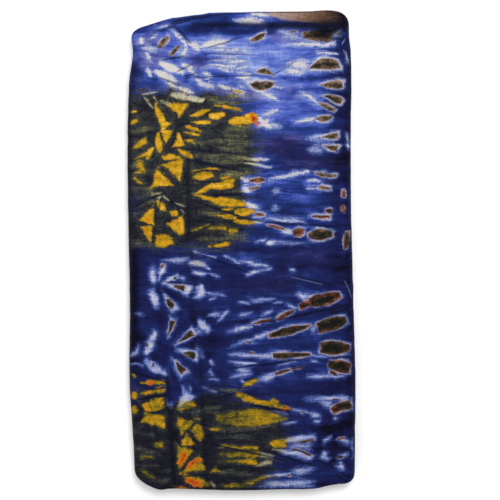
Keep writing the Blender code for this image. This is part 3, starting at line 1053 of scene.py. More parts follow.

# Dark lines of the dye, partly painted shade along creases, and near-black gaps of painted shadow between the
# layers
darkDyeAndShadeLines = marks([
    (-84, 271, -56, 279, 3, 6, 5),
    (-58, 278, -22, 282, 5, 4, 1),
    (-42, 281, 4, 283, 1, 1.5, 1),
    (0, 284, 118, 285, 1, 1.5, 1),
    (-106, 262, -92, 263, 1, 2.5, 2),
    (-98, 262, -77, 269, 1, 4, 3),
    (-76, 214, -58, 222, 0.8, 2, 1),
    (-70, 207, -52, 212, 0.6, 1.6, 0.6),
    (-98, 207, -72, 197, 0.6, 1.8, 0.8),
    (-81, 270, -59, 247, 4, 3.2, 1.5),
    (-42, 241, -9, 251, 0.4, 1.4, 1),
    (-12, 251, 6, 256, 1, 1.2, 0.4),
    (-95, 227, -68, 232, 1, 2.5, 2),
    (112, 254, 123, 252, 1, 2, 1),
    (121, 232, 129, 220, 1, 2, 1),
    (118, 270, 128, 260, 2, 4, 2),
    (0, 40, 30, 34, 1, 2, 2),
    (30, 34, 60, 32, 2, 2, 2),
    (60, 32, 116, 29, 2, 2.5, 1),
    (-122, -177, -88, -172, 1, 3, 1),
    (12, -184, 60, -191, 1, 3, 1),
    (98, 181, 127, 163, 0.5, 1.5, 0.5),
    (62, -30, 97, -38, 0.5, 1, 0.5),
    (120, -264, 132, -272, 1, 2, 1),
    (114, -268, 128, -276, 1, 2, 1),
    (-42, 65, 2, 68, 1, 3.5, 2),
    (-58, 36, -30, 33, 1, 3, 1),
    (-93, 68, -132, 51, 2, 1.5, 1),
    (-93, 68, -102, 37, 1, 1.8, 1),
    (-92, 68, -67, 43, 1, 1.6, 1),
    (-59, 61, 0, 40, 1, 2, 2),
    (-52, -3, 13, -27, 1, 1.6, 1),
    (-90, -37, -49, -40, 1.4, 1.8, 1),
    (-132, -143, -88, -157, 1, 2.4, 1),
    (-11, -140, 76, -129, 1, 1.8, 1),
    (-41, -267, -73, -269, 1, 2, 1),
    (-40, -229, 55, -250, 1, 2, 1),
    (29, -238, 88, -257, 1, 2, 1),
    (38, 210, 66, 226, 0.4, 0.7, 0.4),
    (-67, 206, 24, 209, 0.4, 1.2, 0.6),
    (-48, 236, 16, 233, 0.4, 0.9, 0.4),
    (-48, 228, -10, 229, 0.4, 0.9, 0.4),
    (25, -86, 131, -64, 1, 2.5, 1),
    (-75, 149, -58, 152, 1, 2, 1),
    (-80, 123, -4, 115, 0.8, 2, 1),
    (-70, 110, 5, 94, 1.5, 3.4, 2.5),
    (-59, 93, -19, 93, 0.8, 2, 0.8, 3),
    (-60, 84, -10, 87, 0.8, 2, 0.8, -3.5),
])

# Fine pale lines: painted highlights along the ridges of creases
paintedHighlightLines = marks([
    (-20, 242.6, 20, 241.6, 0.6, 1.6, 0.6),
    (-36, 233.5, 22, 231.6, 0.6, 1.6, 0.6),
    (-30, 225, -6, 230, 0.5, 1.2, 0.5),
    (36, 211, 56, 221, 0.5, 1, 0.5),
    (60, -31, 97, -40, 0.4, 0.7, 0.4),
    (124, -36, 132, -56, 0.4, 0.8, 0.4),
    (120.5, 246, 124, 253, 0.8, 1.2, 0.6),
    (122, 240, 129, 222, 0.8, 1.4, 0.8),
    (95, -127, 132, -124, 0.5, 1, 0.5),
])

# Soft bands of the ground, partly dye and partly painted shade along the side edges and under the rolled end:
# how far each one reaches to its sides, and its change of tone
Band = namedtuple("Band", "x0 y0 x1 y1 reach tone")
toneBandsAndPaintedShade = [Band(*row) for row in [
    (-62, 262, 40, 264, 6, -0.30),
    (-40, 209, 124, 206, 4, -0.17),
    (30, 184, 92, 182, 9, -0.05),
    (40, 168, 84, 150, 10, -0.09),
    (44, 128, 92, 116, 12, -0.13),
    (20, 120, 126, 104, 7, -0.14),
    (-4, 98, 96, 98, 3.5, -0.20),
    (34, 80, 84, 78, 6, 0.05),
    (40, 60, 108, 60, 8, 0.05),
    (6, 3, 120, -2, 8, -0.06),
    (30, -14, 128, -22, 10, -0.10),
    (-40, -36, 60, -44, 8, -0.09),
    (-58, 2, -56, -150, 5, -0.10),
    (-40, -84, -34, -158, 12, -0.12),
    (-128, 10, -128, -140, 9, -0.10),
    (-60, -78, 20, -66, 7, -0.07),
    (-40, -104, 0, -104, 8, -0.08),
    (30, -112, 94, -102, 7, 0.12),
    (60, -150, 104, -140, 6, -0.02),
    (24, -168, 120, -164, 9, -0.07),
    (60, -210, 126, -208, 7, -0.10),
    (40, -256, 110, -252, 4, -0.09),
    (90, -236, 110, -236, 6, -0.06),
    (60, -266, 126, -262, 7, -0.03),
    (-128, 226, -128, -140, 6, -0.20),
    (127, 250, 131, -250, 5, -0.14),
    (116, 246, 120, 90, 15, -0.37),
    (114, 90, 118, -40, 15, -0.18),
    (116, -60, 120, -262, 15, -0.16),
    (-80, 262, -20, 270, 5, -0.18),
    (-52, 240, -50, 206, 8, -0.05),
]]

# Painted shade of the folds and edges, and of the groove under the rolled end, over all the dyes: how far each
# one reaches to its sides, and its strength
shades = [Band(*row) for row in [
    (-62, 269, 30, 268, 4.0, 0.5),
    (-134, 258, -135, -262, 4.5, 0.75),
    (133, 262, 137, -262, 4.0, 0.7),
    (129, 258, 131, 130, 7, 0.40),
    (118, 283, 133, 266, 7, 0.8),
    (88, 262, 122, 262, 8, 0.85),
    (112, 250, 126, 236, 5, 0.30),
    (-130, 260, -66, 280, 3, 0.4),
    (-88, -146, -79, -282, 3.5, 0.6),
    (-50, -108, -40, -282, 3.5, 0.55),
    (-63, 118, -62, 12, 3.5, 0.55),
    (-103, 144, -103, 106, 2.2, 0.5),
    (-102, 68, -102, 4, 1.6, 0.5),
    (-120, 92, -66, 77, 2.5, 0.4),
    (-86, 122, -70, 150, 2.2, 0.35),
    (-110, -284, 128, -286, 3, 0.6),
]]

# Painted shadow in the hollow beside the rolled end
paintedHollowShadows = marks([
    (-58, 271, 30, 270, 1, 4, 3),
    (-6, 270, 129, 269, 1, 8, 10),
])

# Where the facets are more olive: x, y, reach across, reach along, strength
ochreWashes = [
    (-16, -199, 26, 12, 0.8),
    (54, -200, 16, 10, 0.7),
    (-16, -244, 24, 18, 0.8),
    (-108, -234, 30, 18, 0.4),
    (-110, -262, 30, 16, 0.9),
    (-60, -186, 20, 10, 0.3),
    (-124, 118, 16, 26, 0.5),
    (-64, 100, 16, 20, 0.4),
    (-44, 36, 30, 18, 0.5),
    (-118, 88, 16, 14, 0.5),
    (-70, 212, 40, 20, 0.4),
    (10, -278, 30, 10, 0.5),
]

# Where the cloth is dyed olive and charcoal: x, y, reach across, reach along, strength
oliveWashes = [
    (-88, 112, 66, 70, 1.5),
    (-22, 104, 44, 56, 1.15),
    (-12, 150, 30, 26, 0.38),
    (-92, 172, 44, 20, 0.62),
    (-12, 182, 34, 8, 0.36),
    (-104, 24, 52, 22, 1.1),
    (-24, 32, 34, 32, 0.9),
    (-92, -208, 58, 46, 1.4),
    (-85, -255, 60, 32, 1.4),
    (-14, -215, 58, 42, 1.25),
    (-12, -262, 52, 28, 1.1),
    (34, -220, 26, 16, 0.6),
    (-52, -16, 14, 8, 0.5),
    (-67, -170, 13, 12, -0.9),
    (-83, -180, 6, 16, -1.0),
    (-36, -277, 14, 8, 0.9),
    (8, 78, 9, 11, -0.9),
    (14, 54, 8, 6, -0.6),
]

# Lighter and darker patches of the blue: x, y, reach across, reach along, change of tone, change to violet
blueWashes = [
    (20, 228, 80, 26, 0.18, 0.0),
    (-12, 236, 44, 16, 0.08, 0.0),
    (-114, 212, 24, 16, -0.13, 0.2),
    (112, 262, 30, 14, -0.20, 0.0),
    (66, 190, 26, 12, -0.06, 0.5),
    (100, 236, 20, 8, -0.10, 0.0),
    (50, 190, 50, 30, 0.14, 0.0),
    (72, 158, 34, 14, 0.08, 0.0),
    (-110, 240, 20, 26, 0.03, 0.8),
    (-52, 226, 24, 12, -0.02, 0.8),
    (-30, 204, 40, 12, 0.02, 0.3),
    (48, 126, 40, 18, -0.04, 0.8),
    (95, 104, 40, 10, -0.04, 0.6),
    (100, 82, 14, 8, 0.05, 0.8),
    (30, -40, 44, 14, -0.03, 0.7),
    (84, -8, 40, 14, -0.02, 0.6),
    (60, 250, 30, 10, 0.05, 0.3),
    (-30, 6, 30, 10, -0.02, 0.2),
    (50, -165, 50, 16, -0.02, 0.2),
    (64, 262, 50, 14, -0.06, 0.6),
    (20, 210, 60, 20, 0.02, -0.3),
    (-84, -80, 52, 76, -0.11, 0.0),
    (-22, 256, 26, 8, 0.08, 0.0),
    (-4, 188, 40, 12, -0.05, 0.9),
    (104, -228, 30, 36, -0.12, 0.0),
]

# Where the brown cores turn reddish: x, y, reach across, reach along, strength
warmWashes = [
    (94, 11, 18, 6, 1.0),
    (66, 22, 9, 7, 0.9),
    (40, 28, 14, 5, 0.8),
    (22, 43, 9, 5, 1.0),
    (18, 82, 14, 6, 0.7),
    (80, -66, 12, 8, 0.9),
    (104, -54, 24, 9, 0.8),
    (52, -76, 14, 8, 0.8),
    (26, -85, 14, 5, 0.9),
    (50, -144, 26, 8, 0.9),
    (120, -136, 12, 8, 0.6),
    (126, -117, 6, 8, 0.6),
    (112, -188, 8, 6, 0.6),
    (104, -96, 10, 8, 0.6),
    (100, 40, 16, 8, 0.6),
    (124, 60, 8, 24, 0.6),
]

# Where the dye runs out in rays from a tied point: x, y, reach
starPoints = [(-75, 149, 62), (-83, -115, 58), (-82, 60, 40), (-62, -250, 50), (-104, -196, 40)]

# How the chart lies on the cloth, in millimetres
pattern = {
    "seenLarger": 1.012,  # the face is nearer to the eye than its outline
    "middleX": 10.7,
    "layerShift": 9.0,  # how far it slides from one inner layer to the next
    "outside": -14.0,  # the depth inside a mark of all that is far from it
    "marksApart": 2.7,  # marks that come nearer to each other go to different layers
    "layerCounts": {"petal": 4, "facet": 5, "core": 3, "darkLine": 3, "paleLine": 1},
    "upperTone": 0.25,  # how much lighter the upper half's blue is
    "lowerTone": -0.03,
}


def markShape(x, y, mark):
    # a mark's own measures at each place: across it, half its width, the slant of its sides, how far its end is
    along, across, half = alongAcross(x, y, mark)
    t = np.clip(along / half, -1, 1)
    lean, belly = (mark.end - mark.start) / 2, mark.middle - (mark.start + mark.end) / 2
    steep = np.sqrt(1 + ((lean - 2 * belly * t) / 2 / half) ** 2)
    return across, (mark.middle + lean * t - belly * t * t) / 2, steep, half - np.abs(along)


def markField(x, y, rows, soft=0.8):
    # how far inside the nearest mark each place is, in millimetres, with its corners rounded
    field = np.full(x.shape, pattern["outside"])
    for row in rows:
        across, wide, steep, fromEnd = markShape(x, y, row)
        side = (wide - np.abs(across)) / steep
        rounding = soft * np.log1p(np.exp(-np.abs(side - fromEnd) / soft))
        field = np.maximum(field, np.minimum(side, fromEnd) - rounding)
    return field


def markLayers(x, y, rows, count):
    # each mark's own measures, which stay straight between vertices, on a few layers of marks that lie apart
    outside = pattern["outside"]
    layers = []
    for _ in range(count):
        layers.append([np.full(x.shape, outside), np.tile([0.0, outside, outside], (len(x), 1))])
    for row in rows:
        across, wide, steep, fromEnd = markShape(x, y, row)
        shape = np.stack([across / steep, wide / steep, fromEnd], axis=1)
        inside = np.minimum(shape[:, 1] - np.abs(shape[:, 0]), fromEnd)
        crowding = [np.minimum(inside, near).max() for near, shapes in layers]
        free = [i for i, depth in enumerate(crowding) if depth < -pattern["marksApart"]]
        near, shapes = layers[free[0] if free else int(np.argmin(crowding))]
        nearer = inside > near
        near[nearer], shapes[nearer] = inside[nearer], shape[nearer]
    return layers


def bandField(x, y, rows):
    field = np.zeros(x.shape)
    for row in rows:
        along, across, half = alongAcross(x, y, Mark(*row[:4], 0, 0, 0))
        run = np.exp(-np.maximum(np.abs(along) - half + row.reach, 0) ** 2 / row.reach**2 / 2)
        field += row.tone * run * np.exp(-((across / row.reach) ** 2))
    return field


def washField(x, y, rows, column):
    field = np.zeros(x.shape)
    for row in rows:
        distance = ((x - row[0]) / row[2]) ** 2 + ((y - row[1]) / row[3]) ** 2
        field += row[column] * np.exp(-distance)
    return field


def coreTrail(core):
    # the haze that runs out of a core towards the left, along the core's own line
    dx, dy = core.x1 - core.x0, core.y1 - core.y0
    back = core.tail / math.hypot(dx, dy)
    wide = (core.start + core.end) / 2 + 2 * core.halo
    return Mark(core.x0 - dx * back, core.y0 - dy * back, core.x1, core.y1, 1, wide * 0.75, wide)


def onChart(chart, layer):
    # where each vertex falls on the chart, in millimetres from the face's middle
    x = (chart[:, 0] - studio["cameraX"] / mm) * pattern["seenLarger"] + pattern["middleX"]
    y = chart[:, 1] * pattern["seenLarger"]
    return x, y - layer * pattern["layerShift"] * np.sign(y)


# How the pattern wavers across the face, along it, and along the flow, in the same columns as reliefWaves
waverX = [(1.3, 13, 9, 0, 31), (0.7, 5, 5, 0, 32)]
waverY = [(1.3, 17, 9, 0, 33), (0.7, 6, 5, 0, 34)]
waverFlow = [(2.5, 40, 30, 0, 21), (1.2, 18, 12, 0, 22)]


def starRays(x, y):
    # places round the nearest tied point and out from it, and how much that point rules there
    rays, rayShare = np.zeros((len(x), 3)), np.zeros(len(x))
    for number, (starX, starY, reach) in enumerate(starPoints):
        fromX, fromY = x - starX, y - starY
        distance = np.hypot(fromX, fromY) + 0.001
        weight = np.exp(-((distance / reach) ** 4))
        nearest = weight > rayShare
        turned = np.stack([fromX / distance * 100, fromY / distance * 100, distance + 200 * number], axis=1)
        rays[nearest] = turned[nearest]
        rayShare = np.maximum(rayShare, weight)
    return rays, rayShare


def dyeFields(chart, flat):
    # the dyed pattern at each vertex, with its painted shade, shadow and highlights, as numbers that the
    # material turns into colour
    layer = flat[:, 2]
    placeX, placeY = onChart(chart, layer)
    x = placeX + softWaves(placeX, placeY, waverX)
    y = placeY + softWaves(placeX, placeY, waverY)
    straightX, straightY = placeX * 0.7 + x * 0.3, placeY * 0.7 + y * 0.3
    coreMarks = [Mark(*row[:7], row.bend) for row in cores]
    trails = [coreTrail(row) for row in cores if row.tail]
    rim = np.full(x.shape, pattern["outside"])
    for row, mark in zip(cores, coreMarks):
        rim = np.maximum(rim, markField(x, y, [mark], soft=1.4) + row.halo)
    flowY = y + softWaves(x, y, waverFlow)
    rays, rayShare = starRays(x, y)
    upper = pattern["upperTone"] * eased((y + 40) / 240)
    lower = pattern["lowerTone"] * eased((-y - 20) / 200)
    fields = {
        "resist": markField(x, y, petals),
        "haze": markField(x, y, hazes + trails, soft=2.5),
        "rim": rim,
        "warm": washField(x, y, warmWashes, 4),
        "facetGlow": markField(x, y, facets, soft=0.5),
        "streakGlow": markField(x, y, oliveStreaks, soft=1.5),
        "heart": markField(x, y, hearts),
        "olive": washField(x, y, oliveWashes, 4),
        "tone": 0.35 + upper + lower + washField(x, y, blueWashes, 4),
        "band": bandField(x, y, toneBandsAndPaintedShade),
        "violet": washField(x, y, blueWashes, 5),
        "shade": bandField(placeX, placeY, shades),
        "ochre": washField(x, y, ochreWashes, 4),
        "lip": markField(x, y, [lipStain]),
        "lipShade": (x - lipStain.x0) / (lipStain.x1 - lipStain.x0),
        "hollow": markField(placeX, placeY, paintedHollowShadows),
        "upper": eased((y + 150) / 300),
        "flow": np.stack([x, flowY, layer * 13.0], axis=1),
        "rays": rays,
        "rayShare": rayShare,
        "weave": np.stack([flat[:, 0], flat[:, 1], flat[:, 0] * 0], axis=1) / mm,
    }
    tables = {"petal": petals, "facet": facets, "core": coreMarks, "darkLine": darkDyeAndShadeLines, "paleLine": paintedHighlightLines}
    for name, rows in tables.items():
        places = (straightX, straightY) if name.endswith("Line") else (x, y)
        for number, (near, shapes) in enumerate(markLayers(*places, rows, pattern["layerCounts"][name])):
            fields[f"{name}Near{number}"], fields[f"{name}Shape{number}"] = near, shapes
    print("dye:", ", ".join(f"{len(rows)} {name}s" for name, rows in tables.items()))
    return fields


class Wire:
    # wraps a socket, so that shader maths can be written as an expression
    def __init__(self, tree, socket=None):
        self.tree, self.socket = tree, socket

    def plug(self, slot, value):
        if isinstance(value, Wire):
            self.tree.links.new(value.socket, slot)
        else:
            slot.default_value = value

    def node(self, kind, settings=None, sockets=None, out=0):
        made = self.tree.nodes.new("ShaderNode" + kind)
        for name, value in (settings or {}).items():
            if name == "stops":
                for place, colour in value[2:]:
                    made.color_ramp.elements.new(place)
                for element, (place, colour) in zip(made.color_ramp.elements, value):
                    element.position, element.color = place, colour
            else:
                setattr(made, name, value)
        for name, value in (sockets or {}).items():
            self.plug(made.inputs[name], value)
        return Wire(self.tree, made.outputs[out])

    def maths(self, operation, *values):
        return self.node("Math", {"operation": operation}, dict(enumerate(values)))

    def __add__(self, other):
        return self.maths("ADD", self, other)

    def __sub__(self, other):
        return self.maths("SUBTRACT", self, other)

    def __rsub__(self, other):
        return self.maths("SUBTRACT", other, self)

    def __mul__(self, other):
        return self.maths("MULTIPLY", self, other)

    __radd__, __rmul__ = __add__, __mul__

    def size(self):
        return self.maths("ABSOLUTE", self)

    def sine(self):
        return self.maths("SINE", self)

    def least(self, other):
        return self.maths("MINIMUM", self, other)

    def most(self, other):
        return self.maths("MAXIMUM", self, other)

    def within(self, low, high):
        # 0 at low, 1 at high and a soft step between them
        sockets = {"Value": self, "From Min": low, "From Max": high}
        return self.node("MapRange", {"interpolation_type": "SMOOTHSTEP"}, sockets)

    def dyed(self, name):
        # a colour between a dye's stops
        stops = [(place, dye(*colour)) for place, colour in dyes[name]]
        return self.node("ValToRGB", {"stops": stops}, {"Fac": self}, "Color")

    def over(self, below, colour):
        # this mask's share of a colour over the one below
        return self.node("Mix", {"data_type": "RGBA"}, {0: self, 6: below, 7: colour}, 2)

    def field(self, name, out="Fac"):
        return self.node("Attribute", {"attribute_name": name}, out=out)

    def parts(self):
        outputs = self.node("SeparateXYZ", None, {"Vector": self}, "X").socket.node.outputs
        return [Wire(self.tree, outputs[axis]) for axis in "XYZ"]

    def noise(self, x, y, z, detail, rough):
        # noise from 0 to 1 over the places of a vector, with so many bumps to a unit
        place = self.node("VectorMath", {"operation": "MULTIPLY"}, {0: self, 1: (x, y, z)})
        sockets = {"Vector": place, "Scale": 1.0, "Detail": detail, "Roughness": rough}
        return self.node("TexNoise", None, sockets)


def dye(red, green, blue):
    # a colour as it is seen in the studio's light, from 0 to 255, in the linear values that the shader takes
    def linear(value):
        value /= 255
        return value / 12.92 if value <= 0.04045 else ((value + 0.055) / 1.055) ** 2.4

    level = studio["lightLevel"]
    return (linear(red) / level, linear(green) / level, linear(blue) / level, 1.0)


# Each dye from its deepest to its palest colour
dyes = {
    "blue": [(0.0, (5, 6, 28)), (0.2, (19, 21, 66)), (0.4, (24, 37, 94)), (0.55, (37, 58, 132)),
             (0.70, (72, 90, 180)), (0.85, (108, 128, 204)), (1.0, (162, 176, 222))],
    "violet": [(0.0, (14, 12, 30)), (0.4, (36, 32, 82)), (0.7, (80, 78, 140)), (1.0, (136, 132, 178))],
    "olive": [(0.0, (8, 9, 18)), (0.30, (27, 28, 38)), (0.55, (56, 58, 56)), (0.78, (100, 100, 62)),
              (1.0, (162, 152, 90))],
    "facet": [(0.0, (58, 60, 28)), (0.25, (112, 98, 22)), (0.5, (166, 130, 18)), (0.75, (206, 154, 18)),
              (1.0, (232, 192, 72))],
    "pale": [(0.0, (48, 70, 140)), (0.30, (104, 120, 180)), (0.60, (162, 168, 202)), (1.0, (216, 209, 200))],
    "cream": [(0.0, (84, 84, 64)), (0.4, (136, 130, 96)), (0.7, (184, 176, 132)), (1.0, (218, 210, 180))],
    "core": [(0.0, (20, 19, 15)), (0.35, (40, 36, 27)), (0.65, (78, 62, 48)), (1.0, (134, 112, 94))],
    "warmCore": [(0.0, (28, 18, 13)), (0.5, (80, 44, 32)), (1.0, (144, 92, 72))],
    "lip": [(0.0, (178, 156, 150)), (0.3, (146, 118, 104)), (0.55, (112, 84, 68)), (0.85, (58, 42, 36)),
            (1.0, (26, 20, 22))],
}

# Dyes of one colour, and the colours of the painted highlights, shade and shadow
plainDyesAndPaintedLight = {
    "rust": dye(206, 98, 22),
    "orange": dye(214, 112, 18),
    "red": dye(156, 36, 12),
    "coreEdge": dye(186, 172, 184),
    "paleLine": dye(158, 170, 222),
    "darkLine": dye(8, 11, 36),
    "hollow": dye(6, 8, 26),
    "shade": dye(4, 6, 20),
}

# Noises along the flow of the folds: bumps to a millimetre along it and across it, detail and roughness
flowNoises = {
    "blotches": (0.045, 0.07, 2.0, 0.5),
    "wander": (0.12, 0.18, 2.0, 0.5),
    "crackle": (0.28, 0.50, 3.0, 0.7),
    "grain": (0.75, 0.75, 2.0, 0.8),
    "threadsAcross": (0.08, 0.60, 1.0, 0.5),
    "threadsAlong": (0.60, 0.08, 1.0, 0.5),
}

# The same for streaks, which turn into rays near a tied point, with bumps round it and out from it
streakNoises = {
    "longStreaks": (0.014, 0.085, 0.022, 0.02, 2.0, 0.5),
    "midStreaks": (0.035, 0.24, 0.05, 0.035, 3.0, 0.6),
    "fineStreaks": (0.09, 0.65, 0.11, 0.09, 2.0, 0.6),
    "veinRun": (0.016, 0.10, 0.028, 0.016, 1.0, 0.4),
}

# The finish of the cotton, with its threads in millimetres
cotton = {
    "threadPitch": 0.9,
    "threadHeight": 0.05,
    "crinkleHeight": 0.4,
    "grainHeight": 0.15,
    "slubHeight": 0.1,
    "bumpStrength": 0.6,
    "bumpDistance": 0.8 * mm,
    "roughness": 0.66,
    "roughnessChange": 0.2,
    "specular": 0.05,
}


def sharedNoises(bench):
    # the noises and masks that more than one layer of dye takes
    flow, rays, rayShare = bench.field("flow", "Vector"), bench.field("rays", "Vector"), bench.field("rayShare")
    n = SimpleNamespace()
    for name, (along, across, detail, rough) in flowNoises.items():
        setattr(n, name, flow.noise(along, across, 0.1, detail, rough) - 0.5)
    for name, (along, across, roundStar, outwards, detail, rough) in streakNoises.items():
        level = flow.noise(along, across, 0.1, detail, rough)
        fanned = rays.noise(roundStar, roundStar, outwards, detail, rough)
        setattr(n, name, level * (1 - rayShare) + fanned * rayShare - 0.5)
    n.threads = n.threadsAcross + n.threadsAlong
    n.edge = n.wander * 5 + n.crackle * 1.6 + n.threads * 0.7 + n.fineStreaks * 2.5
    n.fray = n.midStreaks * 7 + n.crackle * 2 + n.threads
    n.streak = n.longStreaks * 0.9 + n.midStreaks * 0.75 + n.fineStreaks * 0.55
    n.speckle = n.grain * 0.20 + n.threads * 0.25
    n.veins = (1 - n.veinRun.size().within(0.0, 0.02)) * (n.blotches + 0.5).within(0.40, 0.60)
    n.upper = bench.field("upper")
    n.rough = 0.3 + n.upper * 0.7
    n.resist = bench.field("resist") + n.edge + n.midStreaks * 3
    n.rim = bench.field("rim") - 1.3 + n.wander * 4 + n.crackle * 1.6 + n.midStreaks * 3 + n.blotches * 6
    n.olive = (bench.field("olive") + n.midStreaks * 1.5 + n.blotches * 0.6).within(0.24, 0.86)
    return n


def marked(bench, name):
    # how far inside the nearest mark of a table each place is, in millimetres
    deepest = None
    for number in range(pattern["layerCounts"][name]):
        across, wide, fromEnd = bench.field(f"{name}Shape{number}", "Vector").parts()
        side = wide - across.size()
        near = (bench.field(f"{name}Near{number}") + 1.9) * 20
        inside = bench.maths("SMOOTH_MIN", side, fromEnd, 1.0).least(near)
        deepest = inside if deepest is None else deepest.most(inside)
    return deepest


def blueGround(bench, n):
    # the blue, lighter round the marks, with violet patches, and darker in the bands, partly painted shade
    glow = (n.resist.within(-8.0, 0.0) * 0.16 + n.rim.within(-8.0, 0.0) * 0.10) * (0.45 + n.upper * 0.55)
    sweep = n.longStreaks * 0.62 + n.midStreaks * 0.34 + n.fineStreaks * 0.10 + n.blotches * 0.40
    tone = bench.field("tone") + bench.field("band") * (1 + n.midStreaks * 1.6) + sweep
    tone = tone + glow * (1 + n.midStreaks * 2) + n.speckle * 0.5 - n.veins * 0.12
    violet = (bench.field("violet") + n.blotches * 0.9 + n.longStreaks * 0.8).within(0.15, 0.85)
    violet = violet * (0.5 + n.upper * 0.25)
    return violet.over(tone.dyed("blue"), (tone + 0.05).dyed("violet"))


def hazesOver(bench, n, colour):
    haze = bench.field("haze") + n.fray * 0.8
    tone = 0.12 + haze * 0.10 + n.streak * 0.6 + n.speckle * 1.4 + n.crackle * 0.8
    return (haze.within(-3.5, 4.0) * 0.84).over(colour, tone.dyed("pale"))


def oliveOver(bench, n, colour):
    # the olive and charcoal zones, with their yellowish streaks
    shine = (bench.field("streakGlow") + n.fray * 1.3).within(-4.0, 3.0) * 0.30
    shine = shine + (bench.field("facetGlow") + n.edge).within(-6.0, 0.5) * 0.14
    shine = shine + (1 - n.olive) * 0.22 - n.veins * 0.2
    tone = 0.22 + n.upper * 0.15 + n.streak * 0.5 + n.blotches * 0.3
    tone = tone + n.speckle * 1.2 + n.crackle * 0.5 + shine
    return n.olive.over(colour, tone.dyed("olive"))


def petalsOver(bench, n, colour):
    # the pale fringe of each undyed petal, and then the petal
    tone = 0.16 + n.resist * 0.06 + n.streak * 0.6 + n.crackle * 0.4 + n.speckle + n.upper * 0.14
    fringe = (n.resist + n.blotches * 8).within(-4.0, 1.5) * (1 - n.olive) * (0.42 + n.upper * 0.18)
    colour = fringe.over(colour, tone.dyed("pale"))
    softness = (n.blotches * 1.6 + n.wander * 0.8 + 0.75 - n.upper * 0.35).within(0.2, 0.8)
    petal = marked(bench, "petal") + n.wander * 2.4 + n.midStreaks * 2.4
    petal = petal + (n.crackle * 1.4 + n.fineStreaks * 1.2) * n.rough
    tone = 0.32 + petal.least(2.4) * 0.18 + n.streak + n.blotches + n.speckle * 1.8
    tone = tone + (n.crackle * 1.6 + n.grain * 0.6) * n.rough + n.upper * 0.22 - softness * 0.16
    undyed = (n.olive * 0.9).over(tone.dyed("pale"), tone.dyed("cream"))
    mask = petal.within(-1.0 - softness * 1.7, 0.8 + softness * 1.5)
    return (mask * (0.96 - softness * 0.12 - n.olive * 0.2)).over(colour, undyed)


def facetsOver(bench, n, colour):
    # yellow facets, more olive where the ochre washes are, and the red hearts
    facet = marked(bench, "facet") + n.wander * 1.8 + n.crackle * 1.4 + n.fineStreaks * 1.4 + n.threads * 0.4
    ochre = bench.field("ochre")
    tone = 0.02 + facet.within(-1.0, 2.8) * 0.44 + n.streak * 0.8 + n.grain * 0.5 + n.crackle * 0.8 + n.wander
    tone = tone + n.upper * 0.32 - ochre * 0.34 - n.veins * 0.3
    rust = (n.wander * 2 + n.crackle * 1.4 + n.grain * 0.9 - ochre * 0.5).within(0.08, 0.62) * 0.6
    yellow = rust.over(tone.dyed("facet"), plainDyesAndPaintedLight["rust"])
    mask = facet.within(-0.8 - ochre * 2.2, 0.7 + ochre * 2.2) * (0.97 - ochre * 0.22)
    colour = mask.over(colour, yellow)
    heart = bench.field("heart") + n.wander * 6 + n.crackle * 7 + n.fineStreaks * 3
    colour = (heart.within(-2.6, 0.6) * 0.75).over(colour, plainDyesAndPaintedLight["orange"])
    return (heart.within(-0.8, 2.6) * 0.92).over(colour, plainDyesAndPaintedLight["red"])


def coresOver(bench, n, colour):
    # the pale surround of each core, its broken outline and its brown
    tone = 0.24 + n.rim * 0.20 + n.streak * 0.8 + n.speckle * 1.6 + n.crackle * n.rough * 0.9 + n.upper * 0.22
    colour = (n.rim.within(-2.8, 1.8) * (0.46 + n.upper * 0.28)).over(colour, tone.dyed("pale"))
    core = marked(bench, "core") + n.wander * 3 + n.crackle * 1.6
    outline = core.within(-1.5, -0.5) * (n.blotches * 3 + n.wander * 2 + 0.4).within(0.2, 0.9) * 0.5
    colour = outline.over(colour, plainDyesAndPaintedLight["coreEdge"])
    tone = 0.54 + n.upper * 0.30 - core * 0.10 + n.wander * 1.8 + n.crackle * 1.6 + n.grain * 0.8 + n.speckle
    warm = bench.field("warm") + n.wander * 1.6 + n.blotches * 1.2 + 0.50 - n.upper * 0.3 - core * 0.12
    brown = warm.within(0.2, 0.9).over(tone.dyed("core"), tone.dyed("warmCore"))
    return core.within(-0.9, 0.9).over(colour, brown)


def foldsOver(bench, n, colour):
    # the brown of the rolled end, and then the pale lines of painted highlight, the dark lines of dye and
    # painted crease shade, the painted shadow in the hollow and the painted shade of the folds and edges
    tone = bench.field("lipShade") + n.streak * 0.5 + n.crackle * 0.4 + n.speckle
    colour = (bench.field("lip") + n.fray * 0.7).within(-1.4, 1.4).over(colour, tone.dyed("lip"))
    paleLine = (marked(bench, "paleLine") + n.crackle * 1.5).within(-0.9, 0.6)
    colour = (paleLine * (0.18 + n.upper * 0.24)).over(colour, plainDyesAndPaintedLight["paleLine"])
    darkLine = (marked(bench, "darkLine") + n.crackle * 1.2 + n.midStreaks * 0.8).within(-1.1, 0.8)
    colour = (darkLine * (0.88 - n.upper * 0.16)).over(colour, plainDyesAndPaintedLight["darkLine"])
    hollow = (bench.field("hollow") + n.midStreaks * 3).within(-4.0, 3.0) * 0.88
    shade = (bench.field("shade") * (1 + n.midStreaks)).within(0.05, 1.0)
    return shade.over(hollow.over(colour, plainDyesAndPaintedLight["hollow"]), plainDyesAndPaintedLight["shade"])


def weaveBump(bench, n):
    # plain weave: warp and weft threads over and under each other, with the crinkle of the dyed cloth
    acrossStrip, alongCloth = bench.field("weave", "Vector").parts()[:2]
    turn = 2 * math.pi / cotton["threadPitch"]
    checks = (acrossStrip * turn).sine() * (alongCloth * turn).sine()
    crinkle = n.fineStreaks * 1.2 + n.crackle * 0.5
    height = checks * cotton["threadHeight"] + crinkle * cotton["crinkleHeight"]
    height = height + n.grain * cotton["grainHeight"] + n.threads * cotton["slubHeight"]
    sockets = {"Height": height, "Strength": cotton["bumpStrength"], "Distance": cotton["bumpDistance"]}
    return bench.node("Bump", None, sockets, "Normal")


